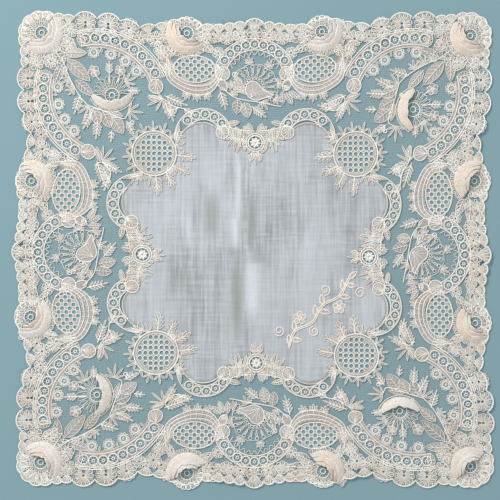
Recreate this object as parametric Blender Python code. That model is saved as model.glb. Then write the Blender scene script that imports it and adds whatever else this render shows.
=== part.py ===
"""A needle-lace handkerchief lying flat: a linen centre, its lace border and the raised rose petals sewn on it."""

import math
from collections import namedtuple

import bpy
from mathutils import Vector, geometry

MM = 0.001

# Driving sizes, in millimetres. The handkerchief is first drawn as a true square about its own middle.
CLOTH_THICK = 1.0
PIECE_GAP = 0.3
CORNER_BULGE = 1.6
LONG_LOBE = 9.0
POINT_STEP = 3.2
BORDER_GRID = 11.5
MIDDLE_X = 0.75
MIDDLE_Y = 0.25

Spot = namedtuple("Spot", "along out")
Lobe = namedtuple("Lobe", "along out bulge")
Arch = namedtuple("Arch", "along out radius start end holes hole_radius")
Pull = namedtuple("Pull", "x y right up")
Swell = namedtuple("Swell", "x y height reach")
Rose = namedtuple("Rose", "name x y facing span radius width rise layers")

# The scalloped edge from the middle of a side to its corner: each row is a notch, with the bulge of the
# lobe between it and the notch before. "along" runs along the side and "out" away from the middle.
EDGE_LOBES = [
    Lobe(6.0, 146.2, 4.0),
    Lobe(12.8, 145.6, 2.2),
    Lobe(19.2, 144.7, 2.0),
    Lobe(26.0, 144.2, 1.9),
    Lobe(33.0, 145.0, 1.8),
    Lobe(39.5, 147.4, 1.8),
    Lobe(48.0, 147.4, 2.0),
    Lobe(54.4, 144.6, 1.8),
    Lobe(62.0, 143.4, 1.6),
    Lobe(71.8, 141.6, 1.8),
    Lobe(84.5, 145.9, 2.6),
    Lobe(99.4, 146.4, 4.3),
    Lobe(114.3, 146.6, 4.2),
    Lobe(121.0, 147.2, 1.4),
    Lobe(127.3, 147.3, 1.5),
    Lobe(134.6, 149.0, 1.5),
    Lobe(141.9, 147.2, 1.6),
]

# The arches of eyelets in half a side, mirrored to the other half. Angles are in degrees from "along".
CORNER_ARCH = Arch(97.8, 94.0, 40.6, 77.0, 151.0, 9, 2.7)
SIDE_ARCH = Arch(0.0, 111.5, 22.4, 32.0, 148.0, 9, 2.4)
INNER_ARCH = Arch(32.4, 74.3, 14.6, 46.0, 142.0, 5, 2.3)
EYELET_SIDES = 8

# The linen's edge: eight lobes, with a daisy medallion in each side and a lattice roundel at each corner.
MEDALLION = Spot(0.0, 70.9)
MEDALLION_RADIUS = 6.9
MEDALLION_HOLE = 3.9
MEDALLION_END = 10.0
LINEN_LOBE = Spot(33.5, 68.6)
LINEN_LOBE_RADIUS = 15.2
LINEN_LOBE_START = 165.0
LINEN_LOBE_END = 10.0
ROUNDEL = Spot(63.6, 63.6)
ROUNDEL_RADIUS = 14.0
ROUNDEL_START = 153.0
DIAGONAL = 225.0

# How far the cloth lies off its true square, as the real one does: up and to the right are positive.
PULL_REACH = 26.0
PULLS = [
    Pull(0, 0, 2.3, -2.6),
    Pull(0, 70.9, 2.2, -2.7),
    Pull(-70.9, 0, 2.3, -3.5),
    Pull(70.9, 0, 4.3, -4.7),
    Pull(0, -70.9, 3.2, -0.8),
    Pull(-63.6, 63.6, 1.5, -2.4),
    Pull(63.6, 63.6, 2.3, -2.8),
    Pull(-63.6, -63.6, 3.0, -1.7),
    Pull(63.6, -63.6, 2.7, -3.6),
    Pull(0, 111.5, 1.7, -3.0),
    Pull(-111.5, 0, -2.4, -1.3),
    Pull(111.5, 0, 0.6, -3.2),
    Pull(0, -111.5, 1.5, 0.0),
    Pull(0, 150, 1.7, -3.6),
    Pull(-150, 0, -1.9, -1.3),
    Pull(150, 0, 1.6, -3.0),
    Pull(0, -150, 1.5, -1.1),
    Pull(-81, 131, 0.6, -1.0),
    Pull(-131, 81, 1.9, 2.5),
    Pull(81, 131, 3.4, 0.0),
    Pull(131, 81, 0.6, 1.1),
    Pull(-131, -81, 1.6, -2.5),
    Pull(-81, -131, -0.9, 1.4),
    Pull(131, -81, 2.3, -5.2),
    Pull(81, -131, 4.9, 1.0),
    Pull(-134, 134, 1.9, 1.9),
    Pull(134, 134, 2.2, 0.8),
    Pull(-134, -134, 0.6, 0.2),
    Pull(134, -134, 3.6, -1.0),
]

# Places where the border lifts a little off the surface.
SWELLS = [
    Swell(-14, 141, 1.3, 20),
    Swell(82, 138, 1.1, 18),
    Swell(-92, 139, 0.9, 18),
    Swell(146, 76, 1.2, 19),
    Swell(146, -9, 1.4, 21),
    Swell(148, -92, 1.0, 18),
    Swell(66, -139, 1.3, 18),
    Swell(-12, -144, 1.2, 19),
    Swell(-92, -139, 0.9, 17),
    Swell(-142, -82, 1.1, 19),
    Swell(-144, 4, 1.3, 20),
    Swell(-142, 84, 1.1, 18),
]

# The crease down the linen, left by folding it in half: a valley in the upper half and a ridge in the lower.
CREASE_X = -4.3
CREASE_TURN_Y = -3.2
CREASE_TURN_LENGTH = 9.0
CREASE_HEIGHT = 1.5
CREASE_WIDTH = 7.0
CROSS_CREASE_HEIGHT = 0.7
CREASE_FADE_START = 46.0
CREASE_FADE_END = 68.0

# Every rose with raised petals: where it is, the way its petals face and half the angle that they span.
ROSES = [
    Rose("corner_top_left", -133.4, 137.9, -45, 94, 13.2, 4.8, 3.6, 2),
    Rose("corner_top_right", 138.5, 136.0, -137, 90, 12.6, 4.6, 3.6, 2),
    Rose("corner_bottom_right", 138.5, -137.2, 133, 90, 12.1, 4.4, 3.6, 2),
    Rose("corner_bottom_left", -134.1, -134.7, 45, 94, 13.0, 4.6, 3.8, 2),
    Rose("top_left", -41.3, 137.6, -128, 90, 13.1, 4.8, 3.8, 2),
    Rose("top_right", 44.5, 138.5, -52, 90, 12.7, 4.8, 4.0, 2),
    Rose("left_upper", -139.8, 43.8, 29, 92, 13.0, 4.6, 3.8, 2),
    Rose("left_lower", -140.4, -42.6, -38, 92, 13.0, 4.8, 3.8, 2),
    Rose("right_upper", 141.1, 43.8, 152, 84, 12.7, 4.6, 3.8, 2),
    Rose("right_lower", 141.7, -46.4, -142, 90, 11.8, 4.4, 3.8, 2),
    Rose("bottom_left", -41.3, -141.7, 115, 86, 13.0, 4.8, 4.0, 2),
    Rose("bottom_right", 45.1, -140.4, 44, 84, 13.0, 4.8, 4.0, 2),
    Rose("inner_top_left", -88.9, 102.9, -88, 72, 14.0, 5.6, 3.2, 1),
    Rose("inner_top_right", 107.0, 88.9, 177, 70, 14.4, 5.6, 3.2, 1),
    Rose("inner_bottom_right", 94.0, -107.0, 92, 70, 13.6, 5.4, 3.2, 1),
    Rose("inner_bottom_left", -103.1, -91.8, -2, 72, 13.9, 5.6, 3.2, 1),
]
PETAL_THICK = 0.9
PETAL_ROWS = 11
PETAL_COLUMNS = 5
PETAL_TIP_WIDTH = 0.16
PETAL_RUFFLE = 0.12
PETAL_WAVES = 7.0
PETAL_LIP = 0.72
PETAL_GAP = 0.6
INNER_PETAL_SCALE = 0.9


def material(name, colour, roughness):
    """A plain finish in the part's own colour."""
    made = bpy.data.materials.new(name)
    made.use_nodes = True
    shader = made.node_tree.nodes["Principled BSDF"]
    shader.inputs["Base Color"].default_value = (*colour, 1.0)
    shader.inputs["Roughness"].default_value = roughness
    shader.inputs["Metallic"].default_value = 0.0
    return made


def smooth(share):
    """Goes from 0 to 1 with no corner at either end."""
    share = min(1.0, max(0.0, share))
    return share * share * (3 - 2 * share)


def turned(x, y, quarter_turns):
    """A point turned clockwise about the middle, from the top side to one of the others."""
    for _ in range(quarter_turns):
        x, y = y, -x
    return x, y


def pulled(x, y):
    """Where a point of the true square really lies, in the uneven cloth."""
    total = right = up = 0.0
    for pull in PULLS:
        near = math.exp(-((x - pull.x) ** 2 + (y - pull.y) ** 2) / (2 * PULL_REACH**2))
        total += near
        right += near * pull.right
        up += near * pull.up
    return x + right / total, y + up / total


def crease(x, y):
    """How high the linen stands above the surface along its fold lines."""
    reach = math.hypot(x, y)
    fade = 1 - smooth((reach - CREASE_FADE_START) / (CREASE_FADE_END - CREASE_FADE_START))
    if fade <= 0:
        return 0.0
    off = abs(x - CREASE_X) / CREASE_WIDTH
    valley = off * math.exp(1 - off)
    ridge = math.exp(-off)
    upper = smooth((y - CREASE_TURN_Y) / CREASE_TURN_LENGTH + 0.5)
    across = math.exp(-((y - CREASE_TURN_Y) ** 2) / (2 * CREASE_WIDTH**2))
    height = CREASE_HEIGHT * (upper * valley + (1 - upper) * ridge)
    return fade * max(height, CROSS_CREASE_HEIGHT * across)


def swelling(x, y):
    """How high the border stands above the surface."""
    height = 0.0
    for swell in SWELLS:
        share = math.hypot(x - swell.x, y - swell.y) / swell.reach
        height = max(height, swell.height * (1 - smooth(share)))
    return height


def arc(centre, radius, start, end, steps):
    """Points along a round stretch, from one angle to another in degrees, with both ends."""
    points = []
    for i in range(steps + 1):
        angle = math.radians(start + (end - start) * i / steps)
        points.append((centre[0] + radius * math.cos(angle), centre[1] + radius * math.sin(angle)))
    return points


def lobe(start, end, bulge, steps):
    """The points of a round lobe that bulges to the left of the way from start to end, without its end."""
    chord = Vector(end) - Vector(start)
    out = Vector((-chord.y, chord.x)).normalized()
    radius = (chord.length_squared / 4 + bulge**2) / (2 * bulge)
    centre = (Vector(start) + Vector(end)) / 2 + out * (bulge - radius)
    half = math.asin(min(1.0, chord.length / 2 / radius))
    if bulge > radius:
        half = math.pi - half
    points = []
    for i in range(steps):
        angle = half - 2 * half * i / steps
        points.append(tuple(centre + out * radius * math.cos(angle) - chord.normalized() * radius * math.sin(angle)))
    return points


def outer_outline():
    """The scalloped edge, clockwise from the top left corner, in the true square."""
    side = [(Spot(-row.along, row.out), row.bulge) for row in reversed(EDGE_LOBES)]
    bulges = [bulge for _, bulge in side] + [row.bulge for row in EDGE_LOBES[1:]] + [CORNER_BULGE]
    notches = [spot for spot, _ in side] + [Spot(row.along, row.out) for row in EDGE_LOBES]
    corner = turned(*notches[0], 1)
    outline = []
    for quarter in range(4):
        for i, notch in enumerate(notches):
            following = notches[i + 1] if i + 1 < len(notches) else corner
            steps = 4 if math.dist(notch, following) > LONG_LOBE else 3
            for point in lobe(notch, following, bulges[i], steps):
                outline.append(turned(*point, quarter))
    return outline


def linen_outline():
    """The edge of the linen, clockwise from the middle of the top side, in the true square."""
    side = arc(MEDALLION, MEDALLION_RADIUS, -90, MEDALLION_END, 4)
    side += arc(LINEN_LOBE, LINEN_LOBE_RADIUS, LINEN_LOBE_START, LINEN_LOBE_END, 9)
    side += arc(ROUNDEL, ROUNDEL_RADIUS, ROUNDEL_START, DIAGONAL, 3)
    whole = side + [(y, x) for x, y in reversed(side[:-1])]
    return [turned(*point, quarter) for quarter in range(4) for point in whole[:-1]]


def grown(outline, gap):
    """A clockwise outline, moved outwards by a gap."""
    moved = []
    for before, here, after in zip(outline[-1:] + outline[:-1], outline, outline[1:] + outline[:1]):
        into = (Vector(here) - Vector(before)).normalized()
        onward = (Vector(after) - Vector(here)).normalized()
        along = (into + onward).normalized()
        out = Vector((-along.y, along.x))
        moved.append(tuple(Vector(here) + out * gap / along.dot(into)))
    return moved


def eyelets():
    """The middle and radius of every hole cut through the border, in the true square."""
    holes = []
    for arch in (CORNER_ARCH, SIDE_ARCH, INNER_ARCH):
        for x, y in arc((arch.along, arch.out), arch.radius, arch.start, arch.end, arch.holes - 1):
            holes.append((x, y, arch.hole_radius))
            if arch.along > 0:
                holes.append((-x, y, arch.hole_radius))
    holes.append((*MEDALLION, MEDALLION_HOLE))
    return [(*turned(x, y, quarter), radius) for quarter in range(4) for x, y, radius in holes]


def inside(point, outline):
    """Whether a point lies inside an outline."""
    x, y = point
    found = False
    for (x1, y1), (x2, y2) in zip(outline, outline[1:] + outline[:1]):
        if (y1 > y) != (y2 > y) and x < x1 + (y - y1) * (x2 - x1) / (y2 - y1):
            found = not found
    return found


def clear_of(points, loops):
    """The points that lie within the first loop, outside the others and not close to any of them."""
    kept = []
    for point in points:
        if not inside(point, loops[0]) or any(inside(point, loop) for loop in loops[1:]):
            continue
        if all(math.dist(point, other) > POINT_STEP for loop in loops for other in loop):
            kept.append(point)
    return kept


def border_points():
    """A staggered grid over the whole cloth, so that the border can swell between its edges."""
    steps = range(-14, 15)
    return [((i + j % 2 / 2) * BORDER_GRID, j * BORDER_GRID * 0.87) for i in steps for j in steps]


def linen_points():
    """A grid over the linen, close beside its crease and wide elsewhere."""
    columns = [CREASE_X + CREASE_WIDTH * share for share in (-8, -5.6, -3.6, -2.2, -1, 0, 1, 2.2, 3.6, 5.6, 8)]
    rows = [CREASE_TURN_Y + step for step in (-60, -44, -30, -18, -9, -3, 3, 9, 18, 30, 44, 60)]
    return [(x, y) for x in columns for y in rows]


def cloth(name, loops, grid, height, finish):
    """A sheet within its first loop and with a hole at each other: triangles, lifted and given a thickness."""
    points, edges = [], []
    for loop in loops:
        first = len(points)
        points += [Vector(point) for point in loop]
        edges += [(first + i, first + (i + 1) % len(loop)) for i in range(len(loop))]
    points += [Vector(point) for point in clear_of(grid, loops)]
    flat, _, faces, _, _, _ = geometry.delaunay_2d_cdt(points, edges, [], 1, 1e-5)
    faces = [face for face in faces if not in_a_hole(face, flat, loops[1:])]
    used = sorted({corner for face in faces for corner in face})
    index = {old: new for new, old in enumerate(used)}
    mesh = bpy.data.meshes.new(name)
    mesh.from_pydata(
        [(flat[i].x * MM, flat[i].y * MM, height(flat[i].x, flat[i].y) * MM) for i in used],
        [],
        [[index[corner] for corner in face] for face in faces],
    )
    return sheet_object(name, mesh, CLOTH_THICK, finish)


def in_a_hole(face, points, holes):
    """Whether a triangle fills a hole instead of cloth."""
    middle = sum((points[corner] for corner in face), Vector((0, 0))) / len(face)
    return any(inside(middle, hole) for hole in holes)


def sheet_object(name, mesh, thickness, finish):
    """Places a sheet with the middle of the cloth at the origin, and thickens it upwards from its underside."""
    made = bpy.data.objects.new(name, mesh)
    made.location = (-MIDDLE_X * MM, -MIDDLE_Y * MM, 0)
    bpy.context.scene.collection.objects.link(made)
    mesh.materials.append(finish)
    if mesh.polygons[0].normal.z < 0:
        mesh.flip_normals()
    solidify = made.modifiers.new("thickness", "SOLIDIFY")
    solidify.thickness = thickness * MM
    solidify.offset = 1.0
    return made


def petal(rose, layer, finish):
    """A cupped crescent, sewn down along its outer edge and curling over towards the rose's middle."""
    radius = rose.radius - layer * (rose.width + PETAL_GAP)
    width = rose.width * (INNER_PETAL_SCALE if layer else 1.0)
    foot = CLOTH_THICK + PIECE_GAP
    points, faces = [], []
    for row in range(PETAL_ROWS):
        along = 2 * row / (PETAL_ROWS - 1) - 1
        angle = math.radians(rose.facing + rose.span * along)
        taper = PETAL_TIP_WIDTH + (1 - PETAL_TIP_WIDTH) * math.cos(along * math.pi / 2) ** 0.8
        ruffle = 1 + PETAL_RUFFLE * math.sin(along * PETAL_WAVES + layer * 2)
        for column in range(PETAL_COLUMNS):
            across = column / (PETAL_COLUMNS - 1)
            out = radius - width * taper * across
            x = rose.x + out * math.cos(angle)
            y = rose.y + out * math.sin(angle)
            lift = rose.rise * taper * ruffle * math.sin(across * math.pi * PETAL_LIP)
            points.append((x * MM, y * MM, (foot + swelling(x, y) + lift) * MM))
    for row in range(PETAL_ROWS - 1):
        for column in range(PETAL_COLUMNS - 1):
            first = row * PETAL_COLUMNS + column
            faces.append((first, first + PETAL_COLUMNS, first + PETAL_COLUMNS + 1, first + 1))
    name = f"petal_{rose.name}_{'inner' if layer else 'outer'}"
    mesh = bpy.data.meshes.new(name)
    mesh.from_pydata(points, [], faces)
    return sheet_object(name, mesh, PETAL_THICK, finish)


def clear_scene():
    for old in list(bpy.data.objects):
        bpy.data.objects.remove(old)


def build():
    clear_scene()
    linen = material("linen", (0.86, 0.87, 0.88), 0.8)
    lace = material("lace", (0.87, 0.84, 0.78), 0.85)
    raised = material("raised_petal", (0.92, 0.88, 0.81), 0.8)
    edge = [pulled(*point) for point in outer_outline()]
    linen_edge = [pulled(*point) for point in linen_outline()]
    opening = grown(linen_edge, PIECE_GAP)
    holes = []
    for x, y, radius in eyelets():
        holes.append(arc(pulled(x, y), radius, 0, 360, EYELET_SIDES)[:-1])
    cloth("lace_border", [edge, opening, *holes], border_points(), swelling, lace)
    cloth("linen_centre", [linen_edge], linen_points(), crease, linen)
    for rose in ROSES:
        for layer in range(rose.layers):
            petal(rose, layer, raised)


build()
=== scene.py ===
"""The look of a needle-lace handkerchief: linen, net ground, cloth stitch, threads and raised petals."""

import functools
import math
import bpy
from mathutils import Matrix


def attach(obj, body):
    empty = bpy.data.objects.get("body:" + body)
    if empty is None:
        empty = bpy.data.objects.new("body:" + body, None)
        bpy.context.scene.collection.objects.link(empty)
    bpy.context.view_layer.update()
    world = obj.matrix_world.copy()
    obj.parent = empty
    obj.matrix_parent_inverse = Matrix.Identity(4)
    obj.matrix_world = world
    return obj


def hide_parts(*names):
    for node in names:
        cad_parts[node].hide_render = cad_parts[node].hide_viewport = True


bl_info = {
    "name": "Lace handkerchief",
    "version": (1, 0, 0),
    "blender": (4, 5, 0),
    "location": "View3D > Sidebar > Lace",
    "description": "Dresses a needle-lace handkerchief: net, cloth stitch, rings, threads, petals and linen",
    "category": "Add Mesh",
}

from collections import namedtuple

import bpy
import numpy as np
from mathutils import Vector, geometry

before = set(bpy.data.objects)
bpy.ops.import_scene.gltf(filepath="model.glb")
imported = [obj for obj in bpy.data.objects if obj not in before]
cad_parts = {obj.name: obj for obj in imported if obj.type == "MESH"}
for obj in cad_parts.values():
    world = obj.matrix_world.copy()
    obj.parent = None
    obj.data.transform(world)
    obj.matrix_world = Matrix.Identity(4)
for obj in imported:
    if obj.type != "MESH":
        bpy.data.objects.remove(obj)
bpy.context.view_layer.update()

MM = 0.001

# The cloth is drawn in millimetres in its true square, then pulled to the uneven shape in which it lies.
PHOTO_PIXEL = 0.6354
PHOTO_PIXELS = 500
VIEW_X = -2.0
VIEW_Y = -0.25
MIDDLE_X = 0.75
MIDDLE_Y = 0.25

Lobe = namedtuple("Lobe", "along out bulge")
Arch = namedtuple("Arch", "along out radius start end holes hole_radius half_width")
Pull = namedtuple("Pull", "x y right up")
Swell = namedtuple("Swell", "x y height reach")
Rose = namedtuple("Rose", "name x y facing span radius width rise warm cool")
Motif = namedtuple("Motif", "kind x y angle size")
Fold = namedtuple("Fold", "x y across along light")

EDGE_LOBES = [
    Lobe(6.0, 146.2, 4.0),
    Lobe(12.8, 145.6, 2.2),
    Lobe(19.2, 144.7, 2.0),
    Lobe(26.0, 144.2, 1.9),
    Lobe(33.0, 145.0, 1.8),
    Lobe(39.5, 147.4, 1.8),
    Lobe(48.0, 147.4, 2.0),
    Lobe(54.4, 144.6, 1.8),
    Lobe(62.0, 143.4, 1.6),
    Lobe(71.8, 141.6, 1.8),
    Lobe(84.5, 145.9, 2.6),
    Lobe(99.4, 146.4, 4.3),
    Lobe(114.3, 146.6, 4.2),
    Lobe(121.0, 147.2, 1.4),
    Lobe(127.3, 147.3, 1.5),
    Lobe(134.6, 149.0, 1.5),
    Lobe(141.9, 147.2, 1.6),
]
CORNER_BULGE = 1.6

CORNER_ARCH = Arch(97.8, 94.0, 40.6, 77.0, 151.0, 9, 2.7, 4.3)
SIDE_ARCH = Arch(0.0, 111.5, 22.4, 32.0, 148.0, 9, 2.4, 3.7)
INNER_ARCH = Arch(32.4, 74.3, 14.6, 46.0, 142.0, 5, 2.3, 3.5)

MEDALLION_OUT = 70.9
MEDALLION_RADIUS = 6.9
MEDALLION_HOLE = 3.9
MEDALLION_END = 10.0
LINEN_LOBE = (33.5, 68.6)
LINEN_LOBE_RADIUS = 14.7
LINEN_LOBE_START = 165.0
LINEN_LOBE_END = 10.0
ROUNDEL = (63.6, 63.6)
ROUNDEL_RADIUS = 14.0
ROUNDEL_START = 153.0
DIAGONAL = 225.0
SHELL = (37.6, 117.4)

PULL_REACH = 26.0
PULLS = [
    Pull(0, 0, 2.3, -2.6),
    Pull(0, 70.9, 2.2, -2.7),
    Pull(-70.9, 0, 2.3, -3.5),
    Pull(70.9, 0, 4.3, -4.7),
    Pull(0, -70.9, 3.2, -0.8),
    Pull(-63.6, 63.6, 1.5, -2.4),
    Pull(63.6, 63.6, 2.3, -2.8),
    Pull(-63.6, -63.6, 3.0, -1.7),
    Pull(63.6, -63.6, 2.7, -3.6),
    Pull(0, 111.5, 1.7, -3.0),
    Pull(-111.5, 0, -2.4, -1.3),
    Pull(111.5, 0, 0.6, -3.2),
    Pull(0, -111.5, 1.5, 0.0),
    Pull(0, 150, 1.7, -3.6),
    Pull(-150, 0, -1.9, -1.3),
    Pull(150, 0, 1.6, -3.0),
    Pull(0, -150, 1.5, -1.1),
    Pull(-81, 131, 0.6, -1.0),
    Pull(-131, 81, 1.9, 2.5),
    Pull(81, 131, 3.4, 0.0),
    Pull(131, 81, 0.6, 1.1),
    Pull(-131, -81, 1.6, -2.5),
    Pull(-81, -131, -0.9, 1.4),
    Pull(131, -81, 2.3, -5.2),
    Pull(81, -131, 4.9, 1.0),
    Pull(-134, 134, 1.9, 1.9),
    Pull(134, 134, 2.2, 0.8),
    Pull(-134, -134, 0.6, 0.2),
    Pull(134, -134, 3.6, -1.0),
]

SWELLS = [
    Swell(-14, 141, 1.3, 20),
    Swell(82, 138, 1.1, 18),
    Swell(-92, 139, 0.9, 18),
    Swell(146, 76, 1.2, 19),
    Swell(146, -9, 1.4, 21),
    Swell(148, -92, 1.0, 18),
    Swell(66, -139, 1.3, 18),
    Swell(-12, -144, 1.2, 19),
    Swell(-92, -139, 0.9, 17),
    Swell(-142, -82, 1.1, 19),
    Swell(-144, 4, 1.3, 20),
    Swell(-142, 84, 1.1, 18),
]

CREASE_X = -4.3
CREASE_TURN_Y = -3.2
CREASE_TURN_LENGTH = 9.0
CREASE_HEIGHT = 1.5
CREASE_WIDTH = 7.0
CROSS_CREASE_HEIGHT = 0.7
CREASE_FADE_START = 46.0
CREASE_FADE_END = 68.0

# Painted light and shade along the linen's folds: a painted highlight where "light" is over 0, painted shade
# mixed with brown staining where it is under.
FOLD_LIGHT_SHADE_AND_STAINS = [
    Fold(-8.6, 38.0, 3.4, 34.0, 1.0),
    Fold(-10.2, 12.0, 5.6, 15.0, 0.7),
    Fold(-0.4, -24.0, 6.6, 26.0, 1.0),
    Fold(-41.0, 14.0, 4.0, 16.0, 0.6),
    Fold(34.0, -2.0, 7.0, 20.0, 0.35),
    Fold(-0.6, 18.0, 4.4, 28.0, -0.8),
    Fold(-25.4, 22.0, 8.0, 18.0, -0.8),
    Fold(-9.6, -30.0, 6.4, 34.0, -1.0),
    Fold(5.0, -5.0, 12.0, 4.6, -0.6),
    Fold(-47.0, -17.0, 8.0, 9.0, -0.4),
]

# Every rose with raised petals, where it lies. "warm" and "cool" tone its inner and its outer petals.
ROSES = [
    Rose("corner_top_left", -133.4, 137.9, -45, 94, 13.2, 9.4, 3.6, 0.35, 0.15),
    Rose("corner_top_right", 138.5, 136.0, -137, 90, 12.6, 9.0, 3.6, 0.8, 0.7),
    Rose("corner_bottom_right", 138.5, -137.2, 133, 90, 12.1, 8.6, 3.6, 0.15, 0.55),
    Rose("corner_bottom_left", -134.1, -134.7, 45, 94, 13.0, 9.0, 3.8, 0.9, 0.05),
    Rose("top_left", -41.3, 137.6, -128, 90, 13.1, 9.4, 3.8, 0.8, 0.85),
    Rose("top_right", 44.5, 138.5, -52, 90, 12.7, 9.4, 4.0, 0.05, 0.05),
    Rose("left_upper", -139.8, 43.8, 29, 92, 13.0, 9.2, 3.8, 0.25, 0.45),
    Rose("left_lower", -140.4, -42.6, -38, 92, 13.0, 9.4, 3.8, 0.9, 0.05),
    Rose("right_upper", 141.1, 43.8, 152, 84, 12.7, 9.0, 3.8, 0.6, 0.55),
    Rose("right_lower", 141.7, -46.4, -142, 90, 11.8, 8.6, 3.8, 0.5, 0.8),
    Rose("bottom_left", -41.3, -141.7, 115, 86, 13.0, 9.2, 4.0, 0.1, 0.25),
    Rose("bottom_right", 45.1, -140.4, 44, 84, 13.0, 9.4, 4.0, 0.85, 0.55),
    Rose("inner_top_left", -88.9, 102.9, -88, 72, 14.0, 5.6, 3.2, 0.25, 0.5),
    Rose("inner_top_right", 107.0, 88.9, 177, 70, 14.4, 5.6, 3.2, 0.6, 0.3),
    Rose("inner_bottom_right", 94.0, -107.0, 92, 70, 13.6, 5.4, 3.2, 0.0, 0.1),
    Rose("inner_bottom_left", -103.1, -91.8, -2, 72, 13.9, 5.6, 3.2, 0.1, 0.2),
]

# The sprays of the top left corner field and of the top side field, drawn once and turned to the others.
# "angle" is the way that a motif grows, in degrees from the right.
CORNER_SPRAYS = [
    Motif("leaf", -119.0, 119.5, -41, 20.0),
    Motif("leaf", -122.0, 116.0, -112, 14.0),
    Motif("leaf", -113.5, 106.5, -40, 15.0),
    Motif("leaf", -121.0, 124.0, 2, 15.0),
    Motif("fern", -110.6, 97.0, -108, 13.0),
    Motif("hand", -117.5, 107.0, -150, 6.5),
    Motif("hand", -114.5, 100.5, -170, 6.0),
    Motif("hand", -119.0, 112.0, 172, 5.0),
    Motif("fern", -91.6, 111.5, 90, 9.0),
    Motif("blossom", -101.5, 113.0, 120, 3.4),
    Motif("blossom", -84.6, 114.6, 60, 3.0),
    Motif("hand", -81.6, 107.4, 24, 8.0),
    Motif("fern", -79.8, 101.8, 5, 8.0),
    Motif("bud", -81.0, 96.5, 40, 1.6),
    Motif("hand", -105.5, 90.0, -108, 9.5),
    Motif("round_leaf", -102.4, 89.4, -70, 11.0),
    Motif("round_leaf", -96.0, 88.0, -64, 11.0),
    Motif("round_leaf", -90.0, 85.0, -55, 12.0),
    Motif("leaf", -94.0, 87.6, -8, 11.0),
    Motif("fern", -103.2, 86.5, -118, 12.5),
    Motif("fern", -99.4, 82.0, -96, 12.0),
    Motif("fern", -90.5, 76.5, -95, 7.0),
    Motif("hand", -79.8, 89.5, -4, 9.5),
    Motif("fern", -81.0, 83.0, -58, 9.0),
    Motif("bud", -98.5, 92.4, 0, 1.6),
    Motif("bud", -77.5, 82.5, 180, 1.8),
    Motif("leaf", -97.5, 57.0, 108, 9.0),
    Motif("hand", -96.5, 57.5, 50, 10.5),
    Motif("fern", -96.6, 56.8, -24, 14.0),
    Motif("fern", -99.8, 56.8, -68, 15.7),
    Motif("leaf", -59.0, 97.0, 168, 9.0),
    Motif("hand", -58.0, 98.0, -155, 10.5),
    Motif("fern", -56.8, 96.6, -66, 14.0),
    Motif("fern", -56.8, 99.8, -22, 15.7),
    Motif("fern", -48.0, 92.5, -160, 9.5),
    Motif("fern", -45.0, 92.0, -30, 8.5),
    Motif("fern", -92.0, 48.5, -105, 9.5),
    Motif("fern", -92.0, 46.0, 115, 8.0),
]
CORNER_STEMS = [
    [(-122.5, 121.0), (-117.2, 107.5), (-111.0, 96.5), (-106.0, 90.8)],
    [(-106.0, 90.8), (-96.0, 88.2), (-89.5, 86.0), (-82.5, 84.5), (-79.8, 88.5)],
    [(-91.6, 106.0), (-91.6, 112.0)],
    [(-86.5, 107.0), (-84.6, 112.0)],
    [(-98.0, 107.5), (-100.8, 111.0)],
    [(-101.0, 54.0), (-96.5, 56.5), (-91.0, 51.0), (-92.0, 44.0)],
    [(-60.5, 99.5), (-57.0, 97.5), (-51.0, 93.5), (-44.0, 92.0)],
]
SIDE_SPRAYS = [
    Motif("round_leaf", -10.9, 98.4, -94, 9.2),
    Motif("round_leaf", -6.6, 96.6, -78, 10.2),
    Motif("fern", -22.0, 104.0, -74, 13.0),
    Motif("hand", -13.5, 101.0, 78, 4.5),
    Motif("fern", -2.0, 94.0, -38, 11.5),
    Motif("hand", 5.0, 97.4, -62, 6.2),
    Motif("leaf", 17.3, 103.4, -86, 8.0),
    Motif("leaf", 19.8, 103.0, -64, 8.8),
    Motif("leaf", 21.5, 103.6, -36, 8.6),
    Motif("bud", 19.8, 105.6, 0, 1.7),
    Motif("hand", 14.2, 108.6, 14, 6.0),
    Motif("hand", 8.4, 119.0, 60, 5.0),
    Motif("hand", -3.5, 121.5, 95, 4.6),
    Motif("bud", -12.6, 114.2, 0, 2.0),
    Motif("hand", -14.0, 107.0, 150, 4.8),
    Motif("hand", 12.5, 99.0, -25, 5.0),
]
SIDE_STEM = [(-20.9, 106.2), (-13.2, 99.9), (-4.3, 97.7), (4.6, 96.4), (12.8, 94.5), (16.6, 93.9)]
# The sprigs over the edge of the linen, drawn for one eighth of it and mirrored to the others.
LINEN_SPRAYS = [
    Motif("hand", 8.6, 73.6, -70, 9.5),
    Motif("leaf", 8.4, 79.4, -78, 9.5),
    Motif("leaf", 12.6, 80.4, -92, 9.0),
    Motif("leaf", 16.4, 80.6, -108, 7.5),
    Motif("leaf", 17.6, 82.4, 168, 8.0),
    Motif("hand", 13.0, 74.4, -88, 9.0),
    Motif("round_leaf", 3.0, 77.0, 78, 6.4),
    Motif("leaf", 9.0, 76.2, 52, 6.0),
    Motif("sprig", 62.6, 49.8, -97, 12.5),
    Motif("sprig", 56.4, 52.4, -116, 12.0),
    Motif("hand", 50.6, 74.6, 182, 6.5),
]
LINEN_CORNER_SPRAYS = [Motif("hand", 54.0, 54.0, 225, 5.5), Motif("bud", 53.4, 53.4, 30, 2.2)]

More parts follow.
